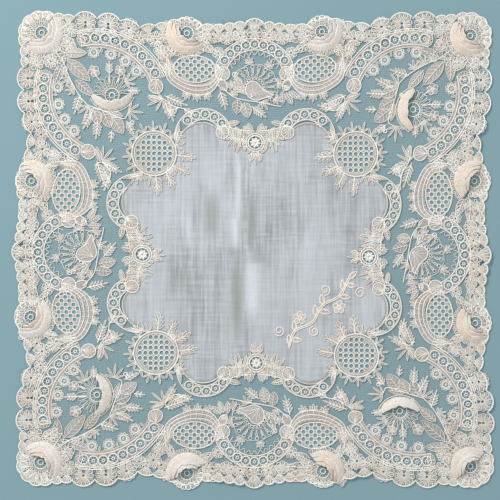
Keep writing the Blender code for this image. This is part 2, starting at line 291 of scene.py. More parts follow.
# The filling between the edge and the arches, drawn for one eighth: rosettes (x, y, radius, petals) and
# leaves (x, y, angle, length).
BORDER_ROSETTES = [
    (9.0, 139.0, 4.6, 8),
    (0.0, 141.5, 4.6, 8),
    (17.5, 137.5, 4.2, 7),
    (23.0, 128.0, 3.8, 7),
    (62.0, 134.5, 5.0, 9),
    (71.0, 135.5, 4.2, 7),
    (57.5, 127.0, 4.2, 8),
    (54.0, 117.0, 3.8, 7),
    (79.5, 137.5, 3.6, 7),
    (116.5, 138.5, 4.6, 8),
    (118.0, 129.5, 4.4, 8),
]
BORDER_LEAVES = [
    (33.0, 142.0, 170, 13.5),
    (33.5, 138.0, 186, 12.5),
    (34.5, 133.5, 206, 11.0),
    (55.0, 115.5, 68, 12.0),
    (57.0, 124.0, 38, 8.0),
    (52.5, 124.0, 96, 9.0),
    (57.0, 126.0, 60, 9.0),
    (52.0, 125.0, 100, 8.0),
    (27.0, 128.0, 60, 8.0),
    (29.0, 134.0, 20, 7.0),
    (113.5, 124.5, 55, 13.0),
    (116.0, 121.0, 30, 15.0),
    (109.0, 128.5, 80, 10.0),
    (86.0, 136.5, 10, 8.0),
    (94.0, 138.0, 0, 8.0),
    (103.5, 138.2, 0, 8.0),
]

# The embroidered sprig on the linen, along and across its own line.
SPRIG_PLACE = (43.2, -39.4)
SPRIG_ANGLE = 43.0
SPRIG_LEAVES = [
    (-29, 1, 6.5),
    (-25, -1, 7.0),
    (-20, 1, 6.5),
    (-3, 1, 7.5),
    (0, -1, 7.5),
    (4, 1, 7.0),
    (17, -1, 7.0),
    (20, 1, 7.0),
    (25, -1, 6.5),
    (28, 0, 6.5),
]
SPRIG_BLOSSOMS = [(-12, 6.0), (11, -6.0)]
SPRIG_CURLS = [(-11, -6.5, 100), (-27, 9.0, 220), (12, 8.0, 260), (27, -8.5, 40)]

CORD = 0.72
FINE_CORD = 0.56
VEIN = 0.44
FINGER = 0.54
EYE_SPOKE = 0.26
LATTICE_HOLE = 1.42
LATTICE_VOID = 1.4

# How high each layer lies in millimetres, before the swells and the crease. The two sides of a net thread lie
# at two levels.
LINEN_LEVEL = 0.3
NET_LEVELS = (0.42, 0.42, 0.5, 0.5)
EMBROIDERY_LEVEL = 0.48
BORDER_LEVEL = 0.55
INNER_RING_LEVEL = 0.7

# Between a patch's outline and its middle lies a ring at this share of its width and of its height.
PATCH_INNER_RING = 0.55
PATCH_INNER_RISE = 0.75
PETAL_ROWS = 56
PETAL_COLUMNS = 9

# The points of the linen: even steps, closer near the crease, and none right beside its edge.
LINEN_GRID_REACH = 96
LINEN_GRID_STEP = 2.4
CREASE_GRID_REACH = 16
CREASE_GRID_STEP = 1.2
LINEN_GRID_MARGIN = 1.4

# Divided by a mesh's side, how many columns and rows of the net lie to each side of its middle.
NET_COLUMN_REACH = 158
NET_ROW_REACH = 108
NET_UNEVENNESS = 0.07
COVER_REACH = 156.0
COVER_PITCH = 0.3

LACE_SEED = 11
NET_SEED = 5

FLOOR_REACH = 8
STUDIO_STRENGTH = 0.49
Lamp = namedtuple("Lamp", "name place size power")
LAMPS = [
    Lamp("key_light", (-0.75, 0.8, 0.95), 0.45, 14.2),
    Lamp("fill_light", (0.9, -0.5, 1.1), 1.1, 2.6),
]
LENS_MM = 90.0
SENSOR_MM = 36.0


def mm(name, description, default, most=20.0):
    """A size that a user would change, held in metres and given here in millimetres."""
    return bpy.props.FloatProperty(
        name=name,
        description=description,
        default=default * MM,
        min=0.01 * MM,
        max=most * MM,
        precision=5,
        subtype="DISTANCE",
        unit="LENGTH",
    )


def tint(name, description, default):
    """A colour that a user would change."""
    return bpy.props.FloatVectorProperty(
        name=name, description=description, default=default, min=0.0, max=1.0, size=3, subtype="COLOR"
    )


class LaceSizes(bpy.types.PropertyGroup):
    """The sizes of the threads and stitches."""

    thread: mm("Outline thread", "Scales every outline thread: the width of the main one", CORD)
    net_mesh: mm("Net mesh", "Width across one six-sided mesh of the net ground", 1.65)
    net_thread: mm("Net thread", "Width of the net ground's twisted thread", 0.16)
    linen_thick: mm("Linen thickness", "Thickness of the linen lawn", 0.22)
    petal_thick: mm("Petal thickness", "Thickness of the close stitch of a raised petal", 0.3)


class LaceColours(bpy.types.PropertyGroup):
    """The colours of the threads and cloths."""

    linen: tint("Linen", "Colour of the linen lawn", (0.515, 0.547, 0.58))
    stitch: tint("Cloth stitch", "Colour of the cloth stitch in leaves and petals", (0.655, 0.61, 0.575))
    cord: tint("Outline thread", "Colour of the outline threads", (0.98, 0.955, 0.905))
    net: tint("Net", "Colour of the net ground", (0.50, 0.56, 0.56))
    petal_cool: tint("White petal", "Colour of the whitest raised petals", (0.98, 0.95, 0.915))
    petal_warm: tint("Warm petal", "Colour of the raised petals that time has tinted", (0.92, 0.76, 0.61))
    embroidery: tint("Embroidery", "Colour of the embroidery on the linen", (0.96, 0.90, 0.83))
    floor: tint("Floor", "Colour of the plain floor", (0.24, 0.385, 0.43))


def turn(degrees):
    """The matrix that turns flat points by an angle."""
    angle = math.radians(degrees)
    return np.array([[math.cos(angle), -math.sin(angle)], [math.sin(angle), math.cos(angle)]])


ONCE = [np.eye(2)]
QUARTERS = [turn(-90 * i) for i in range(4)]
MIRROR = np.array([[-1.0, 0.0], [0.0, 1.0]])
EIGHTHS = QUARTERS + [quarter @ MIRROR for quarter in QUARTERS]


def smooth(share):
    """Goes from 0 to 1 with no corner at either end."""
    share = np.clip(share, 0.0, 1.0)
    return share * share * (3 - 2 * share)


def pulled(points):
    """Where points of the true square really lie, in the uneven cloth."""
    points = np.asarray(points, float)
    pulls = np.array(PULLS)
    away = points[:, None, :] - pulls[None, :, :2]
    near = np.exp(-(away**2).sum(axis=2) / (2 * PULL_REACH**2))
    return points + near @ pulls[:, 2:] / near.sum(axis=1, keepdims=True)


def swelling(points):
    """How high the border stands above the surface."""
    height = np.zeros(len(points))
    for swell in SWELLS:
        share = np.hypot(points[:, 0] - swell.x, points[:, 1] - swell.y) / swell.reach
        height = np.maximum(height, swell.height * (1 - smooth(share)))
    return height


def crease(points):
    """How high the linen stands above the surface along its fold lines."""
    x, y = points[:, 0], points[:, 1]
    reach = np.hypot(x, y)
    fade = 1 - smooth((reach - CREASE_FADE_START) / (CREASE_FADE_END - CREASE_FADE_START))
    off = np.abs(x - CREASE_X) / CREASE_WIDTH
    valley = off * np.exp(1 - off)
    ridge = np.exp(-off)
    upper = smooth((y - CREASE_TURN_Y) / CREASE_TURN_LENGTH + 0.5)
    across = np.exp(-((y - CREASE_TURN_Y) ** 2) / (2 * CREASE_WIDTH**2))
    height = CREASE_HEIGHT * (upper * valley + (1 - upper) * ridge)
    return fade * np.maximum(height, CROSS_CREASE_HEIGHT * across)


def fold_light_shade_and_stains(points):
    """How much painted highlight and how much painted shade with brown staining the linen's folds get, each
    from 0 to 1.
    """
    light, brown = np.zeros(len(points)), np.zeros(len(points))
    for fold in FOLD_LIGHT_SHADE_AND_STAINS:
        across = np.abs(points[:, 0] - fold.x) / fold.across
        along = np.abs(points[:, 1] - fold.y) / fold.along
        mark = abs(fold.light) * (1 - smooth(across)) * (1 - smooth(1.4 * along - 0.4))
        if fold.light > 0:
            light = np.maximum(light, mark)
        else:
            brown = np.maximum(brown, mark)
    return light, brown


def relief(points):
    """The cloth's height at points where it really lies."""
    return swelling(points) + crease(points)


def to_world(points, heights):
    """Flat points and heights in millimetres, as points in metres with the cloth's middle at the origin."""
    return np.column_stack([points[:, 0] - MIDDLE_X, points[:, 1] - MIDDLE_Y, heights]) * MM


def arc(centre, radius, start, end, steps):
    """Points along a round stretch, from one angle to another in degrees, with both ends."""
    angles = np.radians(np.linspace(start, end, steps + 1))
    return np.column_stack([centre[0] + radius * np.cos(angles), centre[1] + radius * np.sin(angles)])


def circle(x, y, radius, steps=12):
    """A closed round outline."""
    return arc((x, y), radius, 0, 360, steps)[:-1]


def spoke(centre, radius, angle):
    """The one point at an angle and distance from a centre."""
    return arc(centre, radius, angle, angle, 0)[0]


def moved(points, x, y, angle):
    """Points drawn along +X from the origin, turned and moved to their place."""
    return np.asarray(points, float) @ turn(angle).T + (x, y)


def placed(point, x, y, angle):
    """One point drawn along +X from the origin, turned and moved to its place."""
    return moved([point], x, y, angle)[0]


def curve_through(points, steps=6):
    """A smooth line through a few points."""
    points = np.asarray(points, float)
    ends = np.vstack([2 * points[0] - points[1], points, 2 * points[-1] - points[-2]])
    line = []
    for a, b, c, d in zip(ends, ends[1:], ends[2:], ends[3:]):
        for t in np.arange(steps) / steps:
            square = (2 * a - 5 * b + 4 * c - d) * t**2
            cube = (3 * b - a - 3 * c + d) * t**3
            line.append(0.5 * (2 * b + (c - a) * t + square + cube))
    return np.vstack([*line, points[-1]])


def lobe(start, end, bulge, steps):
    """The points of a round lobe that bulges to the left of the way from start to end, without its end."""
    start, end = np.asarray(start, float), np.asarray(end, float)
    chord = end - start
    length = np.hypot(*chord)
    ahead = chord / length
    out = np.array([-ahead[1], ahead[0]])
    radius = (length**2 / 4 + bulge**2) / (2 * bulge)
    centre = (start + end) / 2 + out * (bulge - radius)
    half = math.asin(min(1.0, length / 2 / radius))
    if bulge > radius:
        half = math.pi - half
    angles = half - 2 * half * np.arange(steps) / steps
    return centre + radius * (np.cos(angles)[:, None] * out - np.sin(angles)[:, None] * ahead)


def edge_notches():
    """The notches between the lobes of one side, and the bulge of the lobe that follows each."""
    back = EDGE_LOBES[::-1]
    notches = [(-row.along, row.out) for row in back] + [(row.along, row.out) for row in EDGE_LOBES]
    bulges = [row.bulge for row in back + EDGE_LOBES[1:]] + [CORNER_BULGE]
    following = notches[1:] + [(notches[0][1], -notches[0][0])]
    return list(zip(notches, following, bulges))


def outer_outline(steps=6):
    """The scalloped edge, clockwise from the top left corner, in the true square."""
    side = np.vstack([lobe(start, end, bulge, steps) for start, end, bulge in edge_notches()])
    return np.vstack([side @ quarter.T for quarter in QUARTERS])


def linen_outline(steps=8):
    """The edge of the linen, clockwise from the middle of the top side, in the true square."""
    side = np.vstack(
        [
            arc((0, MEDALLION_OUT), MEDALLION_RADIUS, -90, MEDALLION_END, steps),
            arc(LINEN_LOBE, LINEN_LOBE_RADIUS, LINEN_LOBE_START, LINEN_LOBE_END, 3 * steps),
            arc(ROUNDEL, ROUNDEL_RADIUS, ROUNDEL_START, DIAGONAL, steps),
        ]
    )
    whole = np.vstack([side, side[-2::-1, ::-1]])[:-1]
    return np.vstack([whole @ quarter.T for quarter in QUARTERS])


def inside(points, loop):
    """Which points lie inside a closed outline."""
    points, loop = np.asarray(points, float), np.asarray(loop, float)
    x, y = points[:, 0], points[:, 1]
    found = np.zeros(len(points), bool)
    for (x1, y1), (x2, y2) in zip(loop, np.roll(loop, -1, axis=0)):
        if y1 != y2:
            found ^= ((y1 > y) != (y2 > y)) & (x < x1 + (y - y1) * (x2 - x1) / (y2 - y1))
    return found


def triangulated(loops, extra=()):
    """The points and triangles that fill the first loop but for the others."""
    points, edges = [], []
    for loop in loops:
        first = len(points)
        points += [Vector(point) for point in loop]
        edges += [(first + i, first + (i + 1) % len(loop)) for i in range(len(loop))]
    points += [Vector(point) for point in extra]
    flat, _, faces, _, _, _ = geometry.delaunay_2d_cdt(points, edges, [], 1, 1e-5)
    flat = np.array([(point.x, point.y) for point in flat])
    faces = np.array([face for face in faces if len(face) == 3])
    middles = flat[faces].mean(axis=1)
    kept = inside(middles, loops[0])
    for hole in loops[1:]:
        kept &= ~inside(middles, hole)
    faces = faces[kept]
    used, index = np.unique(faces, return_inverse=True)
    return flat[used], index.reshape(faces.shape)


class Lace:
    """The lace as it is drawn: each stroke is repeated round the cloth and pulled into place."""

    def __init__(self):
        self.repeat = ONCE
        self.true_square = True
        self.level = 0.0
        self.open = 0.0
        self.random = np.random.default_rng(LACE_SEED)
        self.keep_clear = []
        self.cords = []
        self.patches = []
        self.covers = []
        self.voids = []
        self.marks = {}

    def settled(self, points):
        """A stroke's copies where they really lie."""
        points = np.asarray(points, float)
        made = [points @ matrix.T for matrix in self.repeat]
        if self.true_square:
            made = [pulled(copy) for copy in made]
        return [copy for copy in made if not self.crowded(copy.mean(axis=0))]

    def crowded(self, middle):
        """Whether a stroke would lie across a rose."""
        return any(math.hypot(middle[0] - x, middle[1] - y) < reach for x, y, reach in self.keep_clear)

    def cord(self, points, width=CORD, closed=False, lift=0.0):
        """An outline thread."""
        for copy in self.settled(points):
            self.cords.append((copy, width, closed, self.level + lift))

    def ring(self, x, y, radius, width=CORD, steps=14):
        """A round outline thread."""
        self.cord(circle(x, y, radius, steps), width, closed=True)

    def void(self, outline):
        """A place with no net."""
        self.voids += self.settled(outline)

    def keep(self, points, faces, rise, firm=0.0):
        """Notes a patch with its height, its own tone and how openly it is stitched."""
        tone = max(firm, self.random.random())
        self.patches.append((points, faces, self.level + rise, tone, self.open))

    def patch(self, outline, dome=0.3, firm=0.0):
        """Cloth stitch within a round or leaf-shaped outline, a little proud at its middle."""
        for copy in self.settled(outline):
            count = len(copy)
            middle = copy.mean(axis=0)
            points = np.vstack([copy, middle + PATCH_INNER_RING * (copy - middle), middle])
            rise = np.repeat([0.0, PATCH_INNER_RISE * dome, dome], [count, count, 1])
            here, after = np.arange(count), np.roll(np.arange(count), -1)
            faces = np.vstack(
                [
                    np.column_stack([here, after, after + count]),
                    np.column_stack([here, after + count, here + count]),
                    np.column_stack([here + count, after + count, np.full(count, 2 * count)]),
                ]
            )
            self.keep(points, faces, rise, firm)
            self.covers.append(copy)

    def sheet(self, loops, dome=0.0):
        """Cloth stitch within the first loop, with a hole at each other."""
        points, faces = triangulated(loops)
        for copy in self.settled(points):
            self.keep(copy, faces, np.full(len(copy), dome), 0.8)
        self.covers += self.settled(loops[0])

    def strip(self, left, right, dome=0.25):
        """Cloth stitch between two lines with as many points each, proud along its middle."""
        left, right = np.asarray(left, float), np.asarray(right, float)
        count = len(left)
        rows = np.vstack([left, (left + right) / 2, right])
        here = np.arange(count - 1)
        faces = []
        for first, second in ((0, count), (count, 2 * count)):
            faces.append(np.column_stack([here + first, here + first + 1, here + second + 1]))
            faces.append(np.column_stack([here + first, here + second + 1, here + second]))
        rise = np.repeat([0.0, dome, 0.0], count)
        for copy in self.settled(rows):
            self.keep(copy, np.vstack(faces), rise, 0.6)
        self.covers += self.settled(np.vstack([left, right[::-1]]))

    def mark(self, kind, x, y, size):
        """A place for a small stitched form that is repeated as it is."""
        for copy in self.settled([(x, y)]):
            self.marks.setdefault(kind, []).append((copy[0, 0], copy[0, 1], size, self.level))


def leaf(lace, x, y, angle, length, share=0.42, veins=4, turned=0.0):
    """A pointed leaf of cloth stitch with an outline thread, a midrib and side veins."""
    along = np.linspace(0, 1, 9)
    half = share * length / 2 * np.sin(np.pi * along**0.85) ** 0.8
    spine = np.column_stack([along * length, turned * length * along * (1 - along)])
    upper = spine + np.column_stack([np.zeros(9), half])
    lower = spine - np.column_stack([np.zeros(9), half])
    outline = moved(np.vstack([upper, lower[-2:0:-1]]), x, y, angle)
    lace.patch(outline)
    lace.cord(outline, FINE_CORD, closed=True)
    lace.cord(moved(spine[:-1], x, y, angle), CORD * 0.8, lift=0.35)
    for i in range(veins):
        at = 0.18 + 0.62 * i / veins
        here = spine[0] + (at * length, turned * length * at * (1 - at))
        reach = 0.8 * share * length / 2 * math.sin(math.pi * min(1.0, at + 0.14) ** 0.85)
        for side in (-1, 1):
            tip = here + (0.16 * length, side * reach)
            lace.cord(moved([here, tip], x, y, angle), VEIN, lift=0.22)


def round_leaf(lace, x, y, angle, length):
    """A broad leaf."""
    leaf(lace, x, y, angle, length, 0.68, 3)


def finger(lace, x, y, angle, length, width=1.0):
    """A blunt finger of a sprig: a narrow patch edged with thread."""
    half = width / 2
    shape = [(0, 0.12), (length * 0.45, half), (length * 0.8, half * 0.9), (length, 0.12)]
    outline = np.array(shape + [(px, -py) for px, py in reversed(shape)])
    outline = moved(outline, x, y, angle)
    lace.patch(outline, 0.35)
    lace.cord(outline, FINGER, closed=True)


def fern(lace, x, y, angle, length):
    """A sprig of paired fingers along a stem, with one at its end."""
    pairs = max(2, round(length / 3.1))
    lace.cord(moved([(0, 0), (length * 0.75, 0)], x, y, angle), CORD)
    for i in range(pairs):
        base = placed((length * (0.1 + 0.66 * i / pairs), 0), x, y, angle)
        reach = min(4.2, length * 0.42) * (1 - 0.3 * i / pairs)
        for side in (-1, 1):
            finger(lace, *base, angle + side * 42, reach, 0.8)
    tip = placed((length * 0.7, 0), x, y, angle)
    finger(lace, *tip, angle, length * 0.3, 0.9)


def sprig(lace, x, y, angle, length):
    """A short branch of plump leaflets, laid over the edge of the linen."""
    lace.cord(moved([(0, 0), (length * 0.7, 0)], x, y, angle), CORD)
    for i in range(3):
        base = placed((length * (0.12 + 0.2 * i), 0), x, y, angle)
        for side in (-1, 1):
            finger(lace, *base, angle + side * (44 - 6 * i), length * 0.36, 1.5)
    tip = placed((length * 0.62, 0), x, y, angle)
    finger(lace, *tip, angle, length * 0.38, 1.7)


def hand(lace, x, y, angle, length):
    """Five fingers spread from one point."""
    for spread, share in ((-72, 0.62), (-36, 0.85), (0, 1.0), (36, 0.85), (72, 0.62)):
        finger(lace, x, y, angle + spread, length * share, 1.15)


def blossom(lace, x, y, angle, radius):
    """A small flower of five round petals."""
    for i in range(5):
        way = math.radians(angle + 72 * i)
        middle = (x + radius * 0.62 * math.cos(way), y + radius * 0.62 * math.sin(way))
        outline = circle(*middle, radius * 0.5, 8)
        lace.patch(outline, 0.3)
        lace.cord(outline, FINE_CORD, closed=True)
    lace.ring(x, y, radius * 0.25, FINE_CORD, 7)


def bud(lace, x, y, angle, radius):
    """A small curl."""
    steps = np.linspace(0, 1, 16)
    way = np.radians(angle + 500 * steps)
    reach = radius * (1 - 0.75 * steps)
    lace.cord(np.column_stack([x + reach * np.cos(way), y + reach * np.sin(way)]), CORD)


def satin_leaf(lace, x, y, angle, length):
    """A small embroidered leaf: an outline of thread with strands side by side within it."""
    half = 0.22 * length
    shape = [(0, 0.1), (length * 0.3, half), (length * 0.65, half * 0.9), (length, 0.1)]
    outline = np.array(shape + [(px, -py) for px, py in reversed(shape)])
    lace.cord(moved(outline, x, y, angle), 0.7, closed=True)
    for across, share in ((-0.36, 0.7), (0.36, 0.7)):
        line = [(length * 0.16, 0), (length * 0.4, across * half * 2), (length * share, across * half)]
        lace.cord(moved(line, x, y, angle), 0.5)


MOTIFS = {form.__name__: form for form in (leaf, round_leaf, fern, sprig, hand, blossom, bud)}


def draw_sprays(lace, rows, repeat):
    """The motifs of one table, each repeated round the cloth."""
    lace.repeat = repeat
    for row in rows:
        MOTIFS[row.kind](lace, row.x, row.y, row.angle, row.size)


def scroll(lace, x, y, radius, start):
    """The rolled end of an arch: a round of cloth stitch, ribbed like a shell from one side."""
    lace.patch(circle(x, y, radius, 16), 0.6, 0.9)
    lace.ring(x, y, radius, CORD, 18)
    foot = spoke((x, y), radius * 0.9, start)
    for spread in (-75, -38, 0, 38, 75):
        tip = spoke((x, y), radius * 0.8, start + 180 + spread)
        middle = spoke((x, y), radius * 0.12 + abs(spread) * 0.02, start + 180 + spread * 1.3)
        lace.cord(curve_through([foot, middle, tip], 4), FINE_CORD, lift=0.4)


def arch_band(lace, arch, start, end, extra=()):
    """A curved band of cloth stitch, pierced by its eyelets and edged with threads."""
    centre = (arch.along, arch.out)
    inner = arch.radius - arch.half_width
    outer = arch.radius + arch.half_width
    band = np.vstack([arc(centre, outer, start, end, 36), arc(centre, inner, end, start, 36)])
    spots = arc(centre, arch.radius, arch.start, arch.end, arch.holes - 1)
    holes = [circle(*spot, arch.hole_radius, 14) for spot in spots]
    between = [
        (arc(centre, reach, arch.start, arch.end, 2 * (arch.holes - 1))[1::2], radius)
        for reach, radius in ((outer - 1.3, 0.52), (inner + 1.15, 0.42))
    ]
    pins = [circle(*spot, radius, 6) for spots_between, radius in between for spot in spots_between]
    lace.sheet([band, *holes, *pins])
    for spot, hole in zip(spots, holes):
        lace.void(hole)
        lace.ring(*spot, arch.hole_radius + 0.35, CORD, 16)
        lace.mark("couronne", *spot, arch.hole_radius / 2.7)
    for radius in (outer, inner, *extra):
        lace.cord(arc(centre, radius, start, end, 40), CORD)
    for pin in pins:
        lace.void(pin)


def draw_corner_arches(lace):
    """The long arches round each corner field, with their scrolls and row of flowerets."""
    lace.repeat = EIGHTHS
    centre = (CORNER_ARCH.along, CORNER_ARCH.out)
    arch_band(lace, CORNER_ARCH, 71, 157, extra=(CORNER_ARCH.radius + 5.6,))
    inner = CORNER_ARCH.radius - CORNER_ARCH.half_width
    lace.strip(arc(centre, inner, 76, 160, 36), arc(centre, inner - 1.7, 76, 160, 36), 0.15)
    lace.cord(arc(centre, inner - 1.8, 76, 160, 36), FINE_CORD)
    scroll(lace, 62.0, 105.4, 4.4, 100)
    for angle in (83.0, 103.5, 122.0, 139.0):
        spot = spoke(centre, 31.4, angle)
        lace.mark("floweret", *spot, 1.0)
        lace.sheet([circle(*spot, 3.4, 14), circle(*spot, 1.75, 10)])
        lace.void(circle(*spot, 1.8, 8))
        joint = spoke(centre, 31.4, angle + 9.5)
        finger(lace, *joint, angle, 2.6, 1.2)


def draw_side_arches(lace):
    """The short arch in the middle of each side and the scrolls that it ends in."""
    lace.repeat = QUARTERS
    arch_band(lace, SIDE_ARCH, 22, 158)
    loops = [
        spoke((SIDE_ARCH.along, SIDE_ARCH.out), 18.0 if i % 2 else 15.4, 26 + 6.4 * i)
        for i in range(21)
    ]
    lace.cord(curve_through(loops, 3), FINE_CORD)
    lace.repeat = EIGHTHS
    scroll(lace, 20.2, 115.0, 4.4, 100)
    drop = moved([(0, 0), (3, 2.6), (7, 2.4), (9.5, 0), (7, -2.2), (3, -2.4)], 22.5, 112, -118)
    lace.patch(drop, 0.3)
    lace.cord(drop, CORD, closed=True)


def lattice(lace, outline, spots):
    """Cloth stitch pierced by ringed holes."""
    lace.sheet([outline, *[circle(*spot, LATTICE_HOLE, 10) for spot in spots]])
    for spot in spots:
        lace.mark("lattice_ring", *spot, 1.0)
        lace.void(circle(*spot, LATTICE_VOID, 8))


def draw_shell(lace):
    """The lattice shell between two arches, wrapped from below by ribbed curved bands."""
    lace.repeat = EIGHTHS
    x, y = SHELL
    way = np.radians(np.arange(0, 360, 15))
    oval = np.column_stack([x + 13.0 * np.cos(way), y + 8.6 * np.sin(way)])
    holes = []
    for row in range(-4, 5):
        for column in range(-4, 5):
            spot = (x + 4.7 * (column + row % 2 / 2), y + 2.35 * row)
            if ((spot[0] - x) / 12.3) ** 2 + ((spot[1] - y) / 8.0) ** 2 < 1:
                holes.append(spot)
    lattice(lace, oval, holes)
    lace.cord(oval, CORD, closed=True)
    for reach in (0, 2.6, 5.2):
        swirl = [
            (x + 15.5 + reach * 0.3, y + 3 + reach),
            (x + 13.5 + reach * 0.7, y - 5.0 - reach * 0.4),
            (x + 3.0, y - 10.6 - reach),
            (x - 8.5 - reach * 0.3, y - 9.6 - reach * 0.9),
            (x - 14.5 - reach * 0.5, y - 2.5),
            (x - 13.2 - reach * 0.2, y + 3.5),
        ]
        outer = curve_through(swirl, 7)
        inward = (np.array([x, y]) - outer) * 0.15
        lace.strip(outer, outer + inward, 0.45)
        lace.cord(outer, CORD)
        for j in range(2, len(outer) - 2, 2):
            lace.cord([outer[j], outer[j] + inward[j] * 0.85], VEIN, lift=0.3)
    for spot_x, spot_y, angle in ((x - 7, y - 15.4, -112), (x - 1, y - 16.2, -92), (x + 5, y - 15.4, -72)):
        hand(lace, spot_x, spot_y, angle, 4.6)


def fan(lace, x, y, reach, start, end, petals, inner=0.0, width=CORD):
    """Petals side by side round part of a circle, each domed and edged, with one vein along it."""
    step = (end - start) / petals
    for i in range(petals):
        middle = start + step * (i + 0.5)
        half = abs(math.radians(step)) / 2 * 0.94
        shape = []
        for share, spread in ((0, 0.55), (0.5, 0.85), (0.82, 1.0), (0.96, 0.66), (1.0, 0.0)):
            radius = inner + (reach - inner) * share
            shape.append((radius * math.cos(half * spread), radius * math.sin(half * spread)))
        outline = moved(shape + [(px, -py) for px, py in reversed(shape[:-1])], x, y, middle)
        lace.patch(outline, 0.4)
        lace.cord(outline, width, closed=True)
        line = [(inner + (reach - inner) * 0.12, 0), (inner + (reach - inner) * 0.8, 0)]
        lace.cord(moved(line, x, y, middle), VEIN, lift=0.4)


def rosette(lace, x, y, radius, petals, start=0.0, span=360.0, eye=0.2):
    """A flat flower: petals round a small ring."""
    fan(lace, x, y, radius, start, start + span, petals, radius * eye, FINE_CORD)
    lace.ring(x, y, radius * eye, FINE_CORD, 9)
    lace.void(circle(x, y, radius * eye * 0.7, 8))


def draw_edge(lace):
    """The scalloped edge: a firm line, a flower in each large scallop and small petals in the rest."""
    lace.repeat = QUARTERS
    line = np.vstack([lobe(start, end, bulge, 8) for start, end, bulge in edge_notches()])
    lace.cord(line, CORD * 1.35)
    for start, end, bulge in edge_notches():
        start, end = np.array(start), np.array(end)
        width = np.hypot(*(end - start))
        ahead = (end - start) / width
        out = np.array([-ahead[1], ahead[0]])
        middle = (start + end) / 2
        facing = math.degrees(math.atan2(out[1], out[0]))
        if width > 12.0:
            rosette(lace, *(middle - out * 2.6), 6.7, 11, facing - 160, 320, 0.16)
        else:
            depth = bulge + 5.2
            fan(lace, *(middle - out * 5.0), depth, facing - 42, facing + 42, 5, 1.6, FINE_CORD)
            rosette(lace, *(middle - out * 6.6), 2.9, 6, facing, 360, 0.3)
            for inward in (4.2, 8.2):
                lace.mark("pin_ring", *(start - out * inward), 1.0)


def draw_border_filling(lace):
    """The flowers and leaves that fill the border between its edge and the arches."""
    lace.repeat = EIGHTHS
    for x, y, radius, petals in BORDER_ROSETTES:
        rosette(lace, x, y, radius, petals, 20 * x, 360, 0.2)
    for x, y, angle, length in BORDER_LEAVES:
        leaf(lace, x, y, angle, length, 0.5, 3)


def draw_inner_ring(lace):
    """The small arches round the linen, with the roundels at its corners and the daisies in its sides."""
    lace.repeat = EIGHTHS
    arch_band(lace, INNER_ARCH, 34, 158)
    centre = (INNER_ARCH.along, INNER_ARCH.out)
    tail = arc(centre, INNER_ARCH.radius + INNER_ARCH.half_width, 34, 2, 10)
    inside_tail = arc((33.5, 71.5), 15.8, 30, 2, 10)
    lace.strip(tail, inside_tail, 0.2)
    for share in (0.0, 0.33, 0.67, 1.0):
        lace.cord(tail + share * (inside_tail - tail), CORD if share in (0.0, 1.0) else FINE_CORD, lift=0.2)
    lip = arc(LINEN_LOBE, LINEN_LOBE_RADIUS - 0.7, LINEN_LOBE_START, LINEN_LOBE_END, 30)
    rim = arc(LINEN_LOBE, LINEN_LOBE_RADIUS + 0.25, LINEN_LOBE_START, LINEN_LOBE_END, 30)
    lace.strip(lip, rim, 0.2)
    lace.cord(rim, FINE_CORD)
    lace.void(np.vstack([rim, arc(centre, 11.1, LINEN_LOBE_END, LINEN_LOBE_START, 30)]))
    scroll(lace, 20.6, 77.4, 4.0, 60)
    roundel(lace)
    medallion(lace)


def roundel(lace):
    """A lattice disc with a fringe of small sprigs on its outer half."""
    x, y = ROUNDEL
    lace.repeat = QUARTERS
    spots = []
    pitch = 3.37
    for row in range(-3, 4):
        for column in range(-3, 4):
            spot = (x + pitch * row, y + pitch * column)
            if math.hypot(spot[0] - x, spot[1] - y) < ROUNDEL_RADIUS - 2.7:
                spots.append(spot)
    lattice(lace, circle(x, y, ROUNDEL_RADIUS + 0.3, 40), spots)
    lace.ring(x, y, ROUNDEL_RADIUS, CORD * 1.3, 44)
    lace.ring(x, y, ROUNDEL_RADIUS - 1.5, FINE_CORD, 40)
    for angle in np.arange(-70, 171, 24.0):
        spot = spoke((x, y), ROUNDEL_RADIUS + 0.3, angle)
        for spread, share in ((-48, 0.72), (0, 1.0), (48, 0.72)):
            finger(lace, *spot, angle + spread, 6.2 * share, 1.15)


def medallion(lace):
    """A daisy in a round hole, with a scalloped rim."""
    lace.repeat = QUARTERS
    x, y = 0.0, MEDALLION_OUT
    hole = MEDALLION_HOLE + 0.3
    lace.sheet([circle(x, y, MEDALLION_RADIUS, 28), circle(x, y, hole, 20)])
    lace.void(circle(x, y, hole, 16))
    lace.ring(x, y, hole + 0.2, CORD * 1.2, 22)
    lace.ring(x, y, MEDALLION_RADIUS - 1.1, CORD, 26)
    for i in range(14):
        angle = 360 / 14 * i
        spot = spoke((x, y), MEDALLION_RADIUS - 0.8, angle)
        finger(lace, *spot, angle, 2.0, 2.0)
    lace.mark("daisy_wheel", x, y, 1.0)
    lace.repeat = EIGHTHS
    upper = curve_through([(20.6, 82.2), (14.5, 80.2), (9.0, 78.8), (4.5, 78.4)], 4)
    lower = curve_through([(18.0, 73.6), (13.0, 73.6), (9.0, 73.0), (6.0, 71.6)], 4)
    lace.strip(upper, lower, 0.2)
    lace.cord(upper, CORD)
    lace.cord(lower, FINE_CORD)
    for angle, length in ((-75, 5.5), (55, 6.0)):
        spot = spoke((x, y), MEDALLION_RADIUS, angle)
        leaf(lace, *spot, angle, length, 0.55, 2)
    lace.repeat = QUARTERS
    hand(lace, x, y - MEDALLION_RADIUS - 0.2, -90, 7.0)


